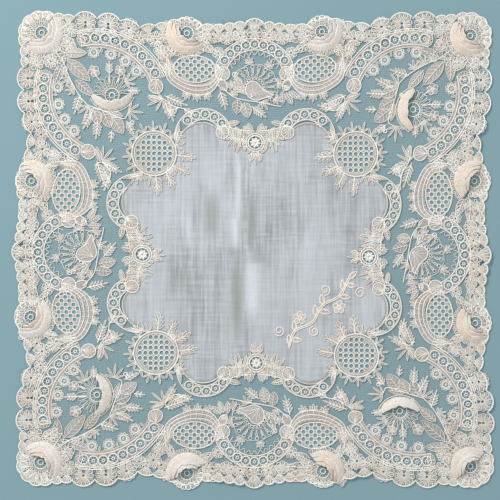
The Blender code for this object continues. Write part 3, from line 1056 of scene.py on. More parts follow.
def draw_rose(lace, rose):
    """The flat part of a raised rose: its pierced eye and the lobes round it."""
    lace.repeat = ONCE
    lace.true_square = False
    away = rose.facing + 180
    if rose.name.startswith("inner"):
        x, y = spoke((rose.x, rose.y), 4.8, rose.facing)
        eye(lace, x, y, 4.5)
        for i in range(11):
            angle = away - 80 + 16 * i
            loop = [(5.0, 0), (8.0, 0.55), (11.4, 1.25), (12.6, 0), (11.4, -1.25), (8.0, -0.55)]
            lace.cord(moved(loop, x, y, angle), FINE_CORD, closed=True)
            bead = spoke((x, y), 5.7, angle + 8)
            lace.ring(*bead, 0.6, VEIN, 6)
        x, y = rose.x, rose.y
        outer = arc((x, y), rose.radius + 1.3, rose.facing - 66, rose.facing + 66, 20)
        lace.strip(outer, arc((x, y), rose.radius - 1.0, rose.facing - 66, rose.facing + 66, 20))
        lace.cord(outer, FINE_CORD)
    else:
        x, y = rose.x, rose.y
        reach = 13.2 if rose.name.startswith("corner") else 10.4
        eye(lace, x, y, 4.2)
        fan(lace, x, y, reach, away - 86, away + 86, 9, 7.2)
        fan(lace, x, y, 7.4, 0, 360, 14, 4.4, FINE_CORD)
        start, end = rose.facing - 84, rose.facing + 84
        fan(lace, x, y, rose.radius + 2.8, start, end, 15, rose.radius - 0.6, FINE_CORD)
    lace.true_square = True


def eye(lace, x, y, radius):
    """A pierced eye: a ring of small holes round a little ring."""
    lace.void(circle(x, y, radius, 14))
    lace.ring(x, y, radius, CORD, 18)
    lace.ring(x, y, radius * 0.4, CORD, 9)
    for i in range(12):
        ends = [spoke((x, y), reach, 30 * i) for reach in (radius * 0.45, radius)]
        lace.cord(ends, EYE_SPOKE)


def draw_side_flowers(lace):
    """The flat flower within each side arch: a closed petal under rows of beads and rays, with its stem."""
    lace.repeat = QUARTERS
    x, y = -0.2, 105.9
    lace.cord(curve_through(SIDE_STEM), CORD)
    leaf(lace, x - 5.0, y - 4.6, 118, 16.0, 0.3, 4, 0.3)
    leaf(lace, x - 7.0, y - 3.0, 150, 9.5, 0.34, 3)
    closed = [(-5.0, 1.8), (-2.2, 4.2), (1.6, 3.4), (4.4, 0.2), (8.0, -2.6), (11.8, -4.9)]
    closed += [(6.5, -6.4), (1.0, -8.0), (-3.6, -6.0), (-5.6, -2.0), (-5.0, 1.8)]
    closed = curve_through(closed, 3)[:-1] + (x, y)
    lace.patch(closed, 0.7, 0.85)
    lace.cord(closed, CORD, closed=True)
    for end_x, end_y in ((-3.6, 1.4), (-0.8, 2.8), (2.0, 1.2), (4.4, -1.8), (7.4, -4.0)):
        vein = curve_through([(-2.4, -6.0), (0.4 * end_x - 1.0, 0.4 * end_y - 3.0), (end_x, end_y)], 4)
        lace.cord(vein + (x, y), VEIN, lift=0.5)
    for i in range(12):
        angle = -24 + 19.0 * i
        bead = spoke((x, y), 6.0, angle)
        lace.void(circle(*bead, 1.1, 8))
        lace.ring(*bead, 0.85, FINE_CORD, 7)
        bead = spoke((x, y), 7.9, angle + 9)
        lace.ring(*bead, 0.7, VEIN, 7)
    for i in range(11):
        angle = -34 + 18.5 * i
        spot = spoke((x, y), 8.8, angle)
        finger(lace, *spot, angle, 3.6, 1.3)
        far = spoke((x, y), 13.3, angle)
        lace.ring(*far, 1.1, FINE_CORD, 8)
    rim = [spoke((x, y), 14.6 + 0.8 * (i % 2), -36 + 15.5 * i) for i in range(13)]
    lace.cord(curve_through(rim, 3), FINE_CORD)


@functools.lru_cache(maxsize=1)
def drawn_lace():
    """The whole lace, drawn once for all its pieces."""
    lace = Lace()
    lace.keep_clear = [(rose.x, rose.y, 0.66 * rose.radius) for rose in ROSES if rose.rise > 3.2]
    lace.level = BORDER_LEVEL
    lace.open = 1.0
    draw_edge(lace)
    draw_border_filling(lace)
    lace.open = 0.35
    draw_corner_arches(lace)
    draw_side_arches(lace)
    draw_shell(lace)
    draw_side_flowers(lace)
    draw_sprays(lace, CORNER_SPRAYS, QUARTERS)
    for stem in CORNER_STEMS:
        lace.cord(curve_through(stem), CORD)
    draw_sprays(lace, SIDE_SPRAYS, QUARTERS)
    lace.open = 0.9
    lace.keep_clear = []
    for rose in ROSES:
        draw_rose(lace, rose)
    lace.open = 0.4
    lace.level = INNER_RING_LEVEL
    draw_inner_ring(lace)
    draw_sprays(lace, LINEN_SPRAYS, EIGHTHS)
    draw_sprays(lace, LINEN_CORNER_SPRAYS, QUARTERS)
    return lace


def new_object(name, points, faces, edges=()):
    """An object at the origin, of the given mesh."""
    mesh = bpy.data.meshes.new(name)
    faces = np.asarray(faces).tolist() if len(faces) else []
    mesh.from_pydata(np.asarray(points).tolist(), list(edges), faces)
    made = bpy.data.objects.new(name, mesh)
    bpy.context.scene.collection.objects.link(made)
    return made


def settled_mesh(obj):
    """Makes an object the plain mesh that its modifiers give, and removes them."""
    graph = bpy.context.evaluated_depsgraph_get()
    mesh = bpy.data.meshes.new_from_object(obj.evaluated_get(graph))
    old = obj.data
    obj.modifiers.clear()
    obj.data = mesh
    bpy.data.meshes.remove(old)
    mesh.name = obj.name


def point_values(made, name, values):
    """Gives each point of an object a number that its material or its node tree reads."""
    made.data.attributes.new(name, "FLOAT", "POINT").data.foreach_set("value", values)


def thickened(made, thickness):
    """Turns a sheet face up, gives it its thickness and smooths it."""
    if made.data.polygons[0].normal.z < 0:
        made.data.flip_normals()
    solid = made.modifiers.new("thickness", "SOLIDIFY")
    solid.thickness = thickness
    solid.offset = 0.0
    settled_mesh(made)
    shade_smooth(made)


def shade_smooth(obj):
    obj.data.polygons.foreach_set("use_smooth", np.ones(len(obj.data.polygons), bool))


def finish_with(obj, *materials):
    obj.data.materials.clear()
    for material in materials:
        obj.data.materials.append(material)


def add_modifier(obj, tree, **values):
    """Puts a node tree on an object and sets its named inputs."""
    modifier = obj.modifiers.new(tree.name, "NODES")
    modifier.node_group = tree
    for item in tree.interface.items_tree:
        key = item.name.lower().replace(" ", "_")
        if item.item_type == "SOCKET" and item.in_out == "INPUT" and key in values:
            modifier[item.identifier] = values[key]


def new_tree(name, kind, inputs, outputs):
    """A node group with named sockets, and its two end nodes."""
    tree = bpy.data.node_groups.new(name, kind)
    for label, socket, default in inputs:
        item = tree.interface.new_socket(label, in_out="INPUT", socket_type=socket)
        if default is not None:
            item.default_value = default
    for label, socket in outputs:
        tree.interface.new_socket(label, in_out="OUTPUT", socket_type=socket)
    return tree, tree.nodes.new("NodeGroupInput"), tree.nodes.new("NodeGroupOutput")


@functools.lru_cache(maxsize=1)
def thread_tree():
    """Lays a round thread along each line of a mesh, as thick as the line's own radius says."""
    tree, given, out = new_tree(
        "Thread along lines",
        "GeometryNodeTree",
        [
            ("Lines", "NodeSocketGeometry", None),
            ("Sides", "NodeSocketInt", 4),
            ("Material", "NodeSocketMaterial", None),
        ],
        [("Thread", "NodeSocketGeometry")],
    )
    node, link = tree.nodes.new, tree.links.new
    to_curve = node("GeometryNodeMeshToCurve")
    width = node("GeometryNodeInputNamedAttribute")
    width.data_type = "FLOAT"
    width.inputs["Name"].default_value = "thread_radius"
    normal = node("GeometryNodeSetCurveNormal")
    normal.mode = "Z_UP"
    profile = node("GeometryNodeCurvePrimitiveCircle")
    profile.inputs["Radius"].default_value = 1.0
    sweep = node("GeometryNodeCurveToMesh")
    sweep.inputs["Fill Caps"].default_value = True
    finish = node("GeometryNodeSetMaterial")
    link(given.outputs["Lines"], to_curve.inputs["Mesh"])
    link(to_curve.outputs["Curve"], normal.inputs["Curve"])
    link(width.outputs["Attribute"], sweep.inputs["Scale"])
    link(given.outputs["Sides"], profile.inputs["Resolution"])
    link(normal.outputs["Curve"], sweep.inputs["Curve"])
    link(profile.outputs["Curve"], sweep.inputs["Profile Curve"])
    link(sweep.outputs["Mesh"], finish.inputs["Geometry"])
    link(given.outputs["Material"], finish.inputs["Material"])
    link(finish.outputs["Geometry"], out.inputs["Thread"])
    return tree


@functools.lru_cache(maxsize=1)
def repeat_tree():
    """Sets a copy of one form at each point of a mesh, at the point's own size."""
    tree, given, out = new_tree(
        "Form at each place",
        "GeometryNodeTree",
        [
            ("Places", "NodeSocketGeometry", None),
            ("Form", "NodeSocketObject", None),
            ("Material", "NodeSocketMaterial", None),
            ("Seed", "NodeSocketInt", 3),
        ],
        [("Copies", "NodeSocketGeometry")],
    )
    node, link = tree.nodes.new, tree.links.new
    form = node("GeometryNodeObjectInfo")
    size = node("GeometryNodeInputNamedAttribute")
    size.data_type = "FLOAT"
    size.inputs["Name"].default_value = "place_size"
    spin = node("FunctionNodeRandomValue")
    spin.data_type = "FLOAT_VECTOR"
    spin.inputs["Min"].default_value = (0.0, 0.0, -0.3)
    spin.inputs["Max"].default_value = (0.0, 0.0, 0.3)
    copies = node("GeometryNodeInstanceOnPoints")
    real = node("GeometryNodeRealizeInstances")
    finish = node("GeometryNodeSetMaterial")
    link(given.outputs["Form"], form.inputs["Object"])
    link(given.outputs["Seed"], spin.inputs["Seed"])
    link(given.outputs["Places"], copies.inputs["Points"])
    link(form.outputs["Geometry"], copies.inputs["Instance"])
    link(spin.outputs["Value"], copies.inputs["Rotation"])
    link(size.outputs["Attribute"], copies.inputs["Scale"])
    link(copies.outputs["Instances"], real.inputs["Geometry"])
    link(real.outputs["Geometry"], finish.inputs["Geometry"])
    link(given.outputs["Material"], finish.inputs["Material"])
    link(finish.outputs["Geometry"], out.inputs["Copies"])
    return tree


def threads(name, strands, sides, material):
    """One piece of every strand given: (points in metres, width in metres, closed)."""
    points = np.vstack([strand[0] for strand in strands])
    radii, edges, first = [], [], 0
    for line, width, closed in strands:
        count = len(line)
        edges += [(first + i, first + i + 1) for i in range(count - 1)]
        if closed:
            edges.append((first + count - 1, first))
        radii += [width / 2] * count
        first += count
    made = new_object(name, points, [], edges)
    point_values(made, "thread_radius", radii)
    add_modifier(made, thread_tree(), sides=sides, material=material)
    settled_mesh(made)
    shade_smooth(made)
    return made


def copies(name, form, places, material):
    """One piece of a form repeated at places: (x, y, size, level) in millimetres."""
    places = np.array(places, float)
    points = to_world(places[:, :2], relief(places[:, :2]) + places[:, 3])
    made = new_object(name, points, [])
    point_values(made, "place_size", places[:, 2])
    add_modifier(made, repeat_tree(), form=form, material=material)
    settled_mesh(made)
    bpy.data.objects.remove(form)
    shade_smooth(made)
    return made


def worn(sheet_piece, *nodes):
    """Ties a piece to the handkerchief's one body, in place of the nodes that it stands for."""
    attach(sheet_piece, "root")
    if nodes:
        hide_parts(*nodes)


def thread_form(name, strands, sides=4):
    """A small form of thread about the origin: strands of (flat points in mm, width, closed)."""
    lines = []
    for points, width, closed in strands:
        points = np.asarray(points, float)
        lines.append((np.column_stack([points, np.zeros(len(points))]) * MM, width * MM, closed))
    return threads(name, lines, sides, None)


def couronne_form():
    """The ringed wheel within an eyelet: a small thick ring held by spokes."""
    strands = [(circle(0, 0, 0.85, 12), 0.62, True)]
    for i in range(8):
        strands.append(([spoke((0, 0), r, 45 * i) for r in (1.0, 2.8)], 0.22, False))
    return thread_form("couronne", strands)


def lattice_form():
    """One ringed hole of a lattice."""
    return thread_form("lattice_ring", [(circle(0, 0, 1.52, 10), 0.46, True)])


def pin_form():
    return thread_form("pin_ring", [(circle(0, 0, 0.9, 8), 0.5, True)])


def floweret_form():
    """A small round flower: a ring with nine loops about it."""
    strands = [(circle(0, 0, 1.95, 12), 0.42, True), (circle(0, 0, 0.5, 7), 0.5, True)]
    for i in range(9):
        spot = spoke((0, 0), 3.0, 40 * i)
        strands.append((circle(*spot, 0.85, 7), 0.42, True))
        strands.append(([spoke((0, 0), r, 40 * i) for r in (0.7, 1.8)], 0.2, False))
    return thread_form("floweret", strands)


def daisy_form():
    """The eight-petalled daisy held in a medallion."""
    petal = [(0.7, 0), (1.7, 0.55), (2.7, 0.5), (3.1, 0), (2.7, -0.5), (1.7, -0.55)]
    strands = [(circle(0, 0, 0.6, 8), 0.5, True)]
    for i in range(8):
        strands.append((moved(petal, 0, 0, 45 * i), 0.56, True))
        strands.append((moved([(0.7, 0), (2.8, 0)], 0, 0, 45 * i), 0.5, False))
        strands.append((moved([(3.1, 0), (4.3, 0)], 0, 0, 45 * i), 0.24, False))
    return thread_form("daisy", strands)


def colour_mix(tree, factor, first, second):
    """A mix of two colours by a factor socket or value, as its result socket."""
    mix = tree.nodes.new("ShaderNodeMix")
    mix.data_type = "RGBA"
    for socket, value in ((mix.inputs[0], factor), (mix.inputs[6], first), (mix.inputs[7], second)):
        if isinstance(value, bpy.types.NodeSocket):
            tree.links.new(value, socket)
        else:
            socket.default_value = value
    return mix.outputs[2]


def arithmetic(tree, operation, first, second=0.0):
    """One sum on sockets or values, as its result socket."""
    node = tree.nodes.new("ShaderNodeMath")
    node.operation = operation
    for socket, value in ((node.inputs[0], first), (node.inputs[1], second)):
        if isinstance(value, bpy.types.NodeSocket):
            tree.links.new(value, socket)
        else:
            socket.default_value = value
    return node.outputs[0]


def noise(tree, vector, scale, detail=3.0, rough=0.55):
    """Soft blotches at a position socket, as a result socket."""
    node = tree.nodes.new("ShaderNodeTexNoise")
    node.inputs["Scale"].default_value = scale
    node.inputs["Detail"].default_value = detail
    node.inputs["Roughness"].default_value = rough
    tree.links.new(vector, node.inputs["Vector"])
    return node.outputs["Fac"]


def stripes(tree, vector, scale, direction, distortion=0.4):
    """Threads side by side along one direction, as a result socket."""
    node = tree.nodes.new("ShaderNodeTexWave")
    node.bands_direction = direction
    node.inputs["Scale"].default_value = scale
    node.inputs["Distortion"].default_value = distortion
    node.inputs["Detail"].default_value = 1.0
    node.inputs["Detail Scale"].default_value = 0.6
    tree.links.new(vector, node.inputs["Vector"])
    return node.outputs["Fac"]


def stretched(tree, vector, scale):
    """A position socket, scaled along each axis."""
    mapping = tree.nodes.new("ShaderNodeMapping")
    mapping.inputs["Scale"].default_value = scale
    tree.links.new(vector, mapping.inputs["Vector"])
    return mapping.outputs[0]


@functools.lru_cache(maxsize=1)
def weave_group():
    """A plain weave: how high its threads stand and how they vary along the cloth."""
    tree, given, out = new_tree(
        "Plain weave",
        "ShaderNodeTree",
        [("Vector", "NodeSocketVector", None), ("Scale", "NodeSocketFloat", 300.0)],
        [("Height", "NodeSocketFloat"), ("Slub", "NodeSocketFloat")],
    )
    scaled = tree.nodes.new("ShaderNodeVectorMath")
    scaled.operation = "SCALE"
    tree.links.new(given.outputs["Vector"], scaled.inputs[0])
    tree.links.new(given.outputs["Scale"], scaled.inputs["Scale"])
    vector = scaled.outputs[0]
    warp = stripes(tree, vector, 1.0, "X")
    weft = stripes(tree, vector, 1.0, "Y")
    height = arithmetic(tree, "MAXIMUM", warp, weft)
    slubs = []
    for stretch in ((1.0, 0.045, 1.0), (0.045, 1.0, 1.0)):
        slubs.append(noise(tree, stretched(tree, vector, stretch), 1.9, 3.0, 0.7))
    warp_slub = arithmetic(tree, "MULTIPLY", slubs[0], 1.3)
    weft_slub = arithmetic(tree, "MULTIPLY", slubs[1], 0.7)
    slub = arithmetic(tree, "ADD", warp_slub, weft_slub)
    tree.links.new(height, out.inputs["Height"])
    tree.links.new(slub, out.inputs["Slub"])
    return tree


def new_material(name, roughness, sheen=0.25):
    """A matt cloth finish and the parts of its tree that the rest is built from."""
    material = bpy.data.materials.new(name)
    material.use_nodes = True
    tree = material.node_tree
    shader = tree.nodes["Principled BSDF"]
    shader.inputs["Roughness"].default_value = roughness
    shader.inputs["Sheen Weight"].default_value = sheen
    shader.inputs["Sheen Roughness"].default_value = 0.5
    shader.inputs["Specular IOR Level"].default_value = 0.25
    where = tree.nodes.new("ShaderNodeTexCoord").outputs["Object"]
    return material, tree, shader, where


def bump(tree, shader, height, strength, distance):
    """Raises the finish by a height socket."""
    node = tree.nodes.new("ShaderNodeBump")
    node.inputs["Strength"].default_value = strength
    node.inputs["Distance"].default_value = distance
    tree.links.new(height, node.inputs["Height"])
    tree.links.new(node.outputs["Normal"], shader.inputs["Normal"])


def ramp(tree, value, low, high):
    """A value stretched so that low gives 0 and high gives 1."""
    node = tree.nodes.new("ShaderNodeMapRange")
    node.inputs["From Min"].default_value = low
    node.inputs["From Max"].default_value = high
    tree.links.new(value, node.inputs["Value"])
    return node.outputs["Result"]


def attribute(tree, name):
    """A number that the mesh holds for each point."""
    node = tree.nodes.new("ShaderNodeAttribute")
    node.attribute_name = name
    return node.outputs["Fac"]


def shade(colour, amount):
    """A lighter or darker tone of a colour, no lighter than white."""
    return (*[min(1.0, channel * amount) for channel in colour], 1.0)


@functools.lru_cache(maxsize=None)
def linen_material():
    """Semi-sheer lawn with its weave, its clouds, a painted highlight on its folds and painted shade mixed
    with brown staining along them.
    """
    colour = bpy.context.scene.lace_colours.linen
    material, tree, shader, where = new_material("linen", 0.75)
    weave = tree.nodes.new("ShaderNodeGroup")
    weave.node_tree = weave_group()
    weave.inputs["Scale"].default_value = 360.0
    tree.links.new(where, weave.inputs["Vector"])
    slub = ramp(tree, weave.outputs["Slub"], 0.78, 1.22)
    tone = colour_mix(tree, slub, shade(colour, 0.78), shade(colour, 1.14))
    drawn = stretched(tree, where, (1.0, 0.4, 1.0))
    cloudy = arithmetic(tree, "MULTIPLY", ramp(tree, noise(tree, drawn, 38.0, 3.0), 0.38, 0.62), 0.9)
    tone = colour_mix(tree, cloudy, tone, shade(colour, 1.22))
    # painted highlight: lighter on the fold flanks that face the light
    tone = colour_mix(tree, attribute(tree, "light"), tone, shade(colour, 1.55))
    # painted shade on the fold flanks turned from the light, mixed with brown staining along the folds
    brown = arithmetic(tree, "MULTIPLY", attribute(tree, "brown"), 0.9)
    shade_and_stain_olive = (colour[0] * 0.70, colour[1] * 0.72, colour[2] * 0.60, 1.0)
    tree.links.new(colour_mix(tree, brown, tone, shade_and_stain_olive), shader.inputs["Base Color"])
    opacity = arithmetic(tree, "MULTIPLY_ADD", slub, 0.16)
    opacity.node.inputs[2].default_value = 0.80
    tree.links.new(opacity, shader.inputs["Alpha"])
    bump(tree, shader, weave.outputs["Height"], 0.35, 0.00012)
    return material


@functools.lru_cache(maxsize=None)
def stitch_material():
    """Cloth stitch: close sheer rows of thread, with pinholes where it is open."""
    colour = bpy.context.scene.lace_colours.stitch
    material, tree, shader, where = new_material("cloth_stitch", 0.8)
    tone = attribute(tree, "tone")
    rows = stripes(tree, where, 420.0, "DIAGONAL", 1.5)
    patchy = ramp(tree, noise(tree, where, 160.0), 0.3, 0.7)
    mixed = arithmetic(tree, "MULTIPLY_ADD", tone, 0.7)
    tree.links.new(arithmetic(tree, "MULTIPLY", patchy, 0.3), mixed.node.inputs[2])
    grey = colour_mix(tree, mixed, shade(colour, 0.78), shade(colour, 1.16))
    age = ramp(tree, noise(tree, where, 26.0, 2.0), 0.45, 0.7)
    warm = (colour[0] * 1.02, colour[1] * 0.93, colour[2] * 0.84, 1.0)
    tree.links.new(colour_mix(tree, age, grey, warm), shader.inputs["Base Color"])
    sheer = arithmetic(tree, "MULTIPLY_ADD", rows, 0.2)
    tree.links.new(arithmetic(tree, "MULTIPLY_ADD", tone, 0.22), sheer.node.inputs[2])
    sheer.node.inputs[2].links[0].from_node.inputs[2].default_value = 0.46
    cells = tree.nodes.new("ShaderNodeTexVoronoi")
    cells.voronoi_dimensions = "2D"
    cells.inputs["Scale"].default_value = 640.0
    tree.links.new(where, cells.inputs["Vector"])
    reach = arithmetic(tree, "MULTIPLY", attribute(tree, "open"), 0.30)
    closed = arithmetic(tree, "GREATER_THAN", cells.outputs["Distance"], reach)
    tree.links.new(arithmetic(tree, "MULTIPLY", sheer, closed), shader.inputs["Alpha"])
    bump(tree, shader, rows, 0.5, 0.00015)
    return material


def thread_material(name, colour, warm_share=0.9):
    """Twisted cotton thread."""
    material, tree, shader, where = new_material(name, 0.75, 0.35)
    twist = stripes(tree, where, 900.0, "DIAGONAL", 0.6)
    patchy = ramp(tree, noise(tree, where, 60.0), 0.35, 0.7)
    warm = (colour[0] * 0.99, colour[1] * 0.95, colour[2] * warm_share, 1.0)
    tree.links.new(colour_mix(tree, patchy, shade(colour, 1.05), warm), shader.inputs["Base Color"])
    bump(tree, shader, twist, 0.3, 0.0001)
    return material


@functools.lru_cache(maxsize=None)
def cord_material():
    return thread_material("outline_thread", bpy.context.scene.lace_colours.cord)


@functools.lru_cache(maxsize=None)
def net_material():
    return thread_material("net_thread", bpy.context.scene.lace_colours.net)


@functools.lru_cache(maxsize=None)
def embroidery_material():
    return thread_material("embroidery_thread", bpy.context.scene.lace_colours.embroidery)


@functools.lru_cache(maxsize=None)
def petal_material():
    """Close stitch in rows that run to the petal's lip, white to warm by the petal's own tint, with painted
    shade in the creases between its pleats.
    """
    colours = bpy.context.scene.lace_colours
    material, tree, shader, where = new_material("raised_petal", 0.85, 0.3)
    stitch = tree.nodes.new("ShaderNodeAttribute")
    stitch.attribute_name = "stitch"
    rays = stretched(tree, stitch.outputs["Vector"], (34.0, 1.6, 3.0))
    pleats = noise(tree, rays, 1.0, 3.0)
    rows = noise(tree, stretched(tree, stitch.outputs["Vector"], (5.0, 16.0, 3.0)), 1.0, 2.0)
    mottle = arithmetic(tree, "SUBTRACT", noise(tree, where, 110.0), 0.5)
    mottle = arithmetic(tree, "ADD", attribute(tree, "warmth"), arithmetic(tree, "MULTIPLY", mottle, 1.6))
    tone = colour_mix(tree, mottle, shade(colours.petal_cool, 1.0), shade(colours.petal_warm, 1.0))
    # painted shade: darker where the pleats fold in, standing in for the shadow in their creases
    painted_crease_shade = arithmetic(tree, "MULTIPLY", ramp(tree, pleats, 0.42, 0.66), 0.5)
    crease_shade_tone = [channel * 0.66 for channel in colours.petal_warm]
    tree.links.new(colour_mix(tree, painted_crease_shade, tone, (*crease_shade_tone, 1.0)), shader.inputs["Base Color"])
    bump(tree, shader, arithmetic(tree, "ADD", pleats, rows), 0.8, 0.0006)
    return material


class LACE_OT_linen(bpy.types.Operator):
    """Lays the linen centre, creased down its middle, in the lace"""

    bl_idname = "lace.linen"
    bl_label = "Linen centre"

    def execute(self, context):
        edge = pulled(linen_outline())
        steps = np.arange(-LINEN_GRID_REACH, LINEN_GRID_REACH + 1, LINEN_GRID_STEP)
        near = np.arange(-CREASE_GRID_REACH, CREASE_GRID_REACH + 0.1, CREASE_GRID_STEP) + CREASE_X
        columns = np.union1d(steps[np.abs(steps - CREASE_X) > CREASE_GRID_REACH], near)
        grid = np.array([(x, y) for x in columns for y in steps])
        grid = grid[inside(grid, edge)]
        gap = np.sqrt(((grid[:, None, :] - edge[None, :, :]) ** 2).sum(axis=2)).min(axis=1)
        points, faces = triangulated([edge], grid[gap > LINEN_GRID_MARGIN])
        made = new_object("linen_centre_cloth", to_world(points, LINEN_LEVEL + relief(points)), faces)
        for name, values in zip(("light", "brown"), fold_light_shade_and_stains(points)):
            point_values(made, name, values)
        thickened(made, context.scene.lace_sizes.linen_thick)
        finish_with(made, linen_material())
        worn(made, "linen_centre")
        return {"FINISHED"}


def covered(loops):
    """Which cells of a fine grid over the cloth lie within any of the outlines."""
    count = int(2 * COVER_REACH / COVER_PITCH)
    cells = np.zeros((count, count), bool)
    for loop in loops:
        low = np.maximum(((loop.min(axis=0) + COVER_REACH) / COVER_PITCH).astype(int), 0)
        high = np.minimum(((loop.max(axis=0) + COVER_REACH) / COVER_PITCH).astype(int) + 2, count)
        xs = (np.arange(low[0], high[0]) + 0.5) * COVER_PITCH - COVER_REACH
        ys = (np.arange(low[1], high[1]) + 0.5) * COVER_PITCH - COVER_REACH
        window = np.array(np.meshgrid(xs, ys, indexing="ij")).reshape(2, -1).T
        found = inside(window, loop).reshape(len(xs), len(ys))
        cells[low[0] : high[0], low[1] : high[1]] |= found
    return cells


def looked_up(cells, points):
    """Whether each point lies in a covered cell."""
    index = np.clip(((points + COVER_REACH) / COVER_PITCH).astype(int), 0, len(cells) - 1)
    return cells[index[:, 0], index[:, 1]]


class LACE_OT_net(bpy.types.Operator):
    """Works the six-sided net ground wherever no cloth stitch covers it"""

    bl_idname = "lace.net"
    bl_label = "Net ground"

    def execute(self, context):
        sizes = context.scene.lace_sizes
        side = sizes.net_mesh / MM / math.sqrt(3)
        columns = np.arange(-int(NET_COLUMN_REACH / side), int(NET_COLUMN_REACH / side) + 1)
        rows = np.arange(-int(NET_ROW_REACH / side), int(NET_ROW_REACH / side) + 1)
        column, row = np.meshgrid(columns, rows, indexing="ij")
        up = (column + row) % 2 == 0
        points = np.column_stack(
            [
                (column * side * math.sqrt(3) / 2).ravel(),
                (row * side * 1.5 + np.where(up, 0.25, -0.25) * side).ravel(),
            ]
        )
        random = np.random.default_rng(NET_SEED)
        points = pulled(points + random.normal(0, NET_UNEVENNESS, points.shape))
        index = np.arange(column.size).reshape(column.shape)
        zigzag = np.column_stack([index[:-1].ravel(), index[1:].ravel()])
        upright = np.column_stack([index[:, :-1].ravel(), index[:, 1:].ravel()])[up[:, :-1].ravel()]
        edges = np.vstack([zigzag, upright])
        lace = drawn_lace()
        cloth = covered([pulled(outer_outline())])
        closed = covered(lace.covers + lace.voids + [pulled(linen_outline())])
        ends = points[edges]
        middles = ends.mean(axis=1)
        kept = looked_up(cloth, ends[:, 0]) & looked_up(cloth, ends[:, 1]) & ~looked_up(closed, middles)
        ends = ends[kept]
        along = ends[:, 1] - ends[:, 0]
        along /= np.hypot(along[:, 0], along[:, 1])[:, None]
        across = np.column_stack([-along[:, 1], along[:, 0]]) * sizes.net_thread / MM / 2
        left, right = ends - across[:, None], ends + across[:, None]
        corners = np.stack([left[:, 0], left[:, 1], right[:, 1], right[:, 0]], axis=1)
        flat = corners.reshape(-1, 2)
        level = np.tile(NET_LEVELS, len(ends))
        faces = np.arange(len(flat)).reshape(-1, 4)
        made = new_object("net_ground", to_world(flat, relief(flat) + level), faces)
        finish_with(made, net_material())
        worn(made)
        return {"FINISHED"}


class LACE_OT_cloth_stitch(bpy.types.Operator):
    """Fills the leaves, petals and bands with cloth stitch"""

    bl_idname = "lace.cloth_stitch"
    bl_label = "Cloth stitch"

    def execute(self, context):
        lace = drawn_lace()
        points = np.vstack([patch[0] for patch in lace.patches])
        heights = np.concatenate([patch[2] for patch in lace.patches])
        counts = [len(patch[0]) for patch in lace.patches]
        tones = np.repeat([patch[3] for patch in lace.patches], counts)
        opens = np.repeat([patch[4] for patch in lace.patches], counts)
        starts = np.cumsum([0] + counts[:-1])
        faces = np.vstack([patch[1] + start for patch, start in zip(lace.patches, starts)])
        a, b, c = (points[faces[:, i]] for i in range(3))
        turned = (b - a)[:, 0] * (c - a)[:, 1] - (b - a)[:, 1] * (c - a)[:, 0]
        faces[turned < 0] = faces[turned < 0][:, ::-1]
        made = new_object("lace_cloth_stitch", to_world(points, relief(points) + heights), faces)
        for name, values in (("tone", tones), ("open", opens)):
            point_values(made, name, values)
        shade_smooth(made)
        finish_with(made, stitch_material())
        worn(made, "lace_border")
        return {"FINISHED"}


class LACE_OT_outline_threads(bpy.types.Operator):
    """Lays the raised outline threads and veins on the cloth stitch"""

    bl_idname = "lace.outline_threads"
    bl_label = "Outline threads"

    def execute(self, context):
        lace = drawn_lace()
        scale = context.scene.lace_sizes.thread / CORD
        groups = {}
        for points, width, closed, level in lace.cords:
            line = to_world(points, relief(points) + level + width * 0.35)
            kind = "outline" if width >= CORD else "fine" if width > VEIN else "vein"
            half = "upper" if points[0, 1] > 0 else "lower"
            groups.setdefault(f"{kind}_threads_{half}", []).append((line, width * scale, closed))
        for name, strands in groups.items():
            sides = 4 if name.startswith("outline") else 3
            made = threads(name, strands, sides, cord_material())
            worn(made)
        return {"FINISHED"}


class LACE_OT_rings(bpy.types.Operator):
    """Sets the wheels in the eyelets, the lattice rings, the flowerets and the daisies"""

    bl_idname = "lace.rings"
    bl_label = "Wheels and rings"

    def execute(self, context):
        forms = {
            "couronne": couronne_form,
            "lattice_ring": lattice_form,
            "pin_ring": pin_form,
            "floweret": floweret_form,
            "daisy_wheel": daisy_form,
        }
        for kind, places in drawn_lace().marks.items():
            made = copies(f"{kind}s", forms[kind](), places, cord_material())
            worn(made)
        return {"FINISHED"}


def petal_grid(rose, outer, inner, foot, height, phase):
    """The points of one raised petal layer: a crescent that curls up from its outer edge and over."""
    rows, columns = PETAL_ROWS, PETAL_COLUMNS
    along = np.linspace(-1, 1, rows)[:, None]
    across = np.linspace(0, 1, columns)[None, :]
    taper = 0.26 + 0.74 * np.cos(along * np.pi / 2) ** 0.6
    ruffle = 0.07 * np.sin(along * 7.0 + phase) + 0.05 * np.sin(along * 13.0 + phase * 2.3)
    pleat = 0.05 * np.sin(along * 62.0 + phase) * np.sin(across * np.pi)
    angle = np.radians(rose.facing + rose.span * along)
    out = outer - (outer - inner) * taper * across * (1 + ruffle * across)
    x = rose.x + out * np.cos(angle)
    y = rose.y + out * np.sin(angle)
    flat = np.column_stack([x.ravel(), y.ravel()])
    lift = height * taper * (1 + ruffle) * (across**0.85 - 0.12 * across**6) + pleat * taper
    faces = []
    for row in range(rows - 1):
        for column in range(columns - 1):
            first = row * columns + column
            faces.append((first, first + columns, first + columns + 1, first + 1))
    stitch = [np.repeat(along, columns), np.tile(across.ravel(), rows), np.zeros(rows * columns)]
    return to_world(flat, relief(flat) + foot + lift.ravel()), faces, np.column_stack(stitch)


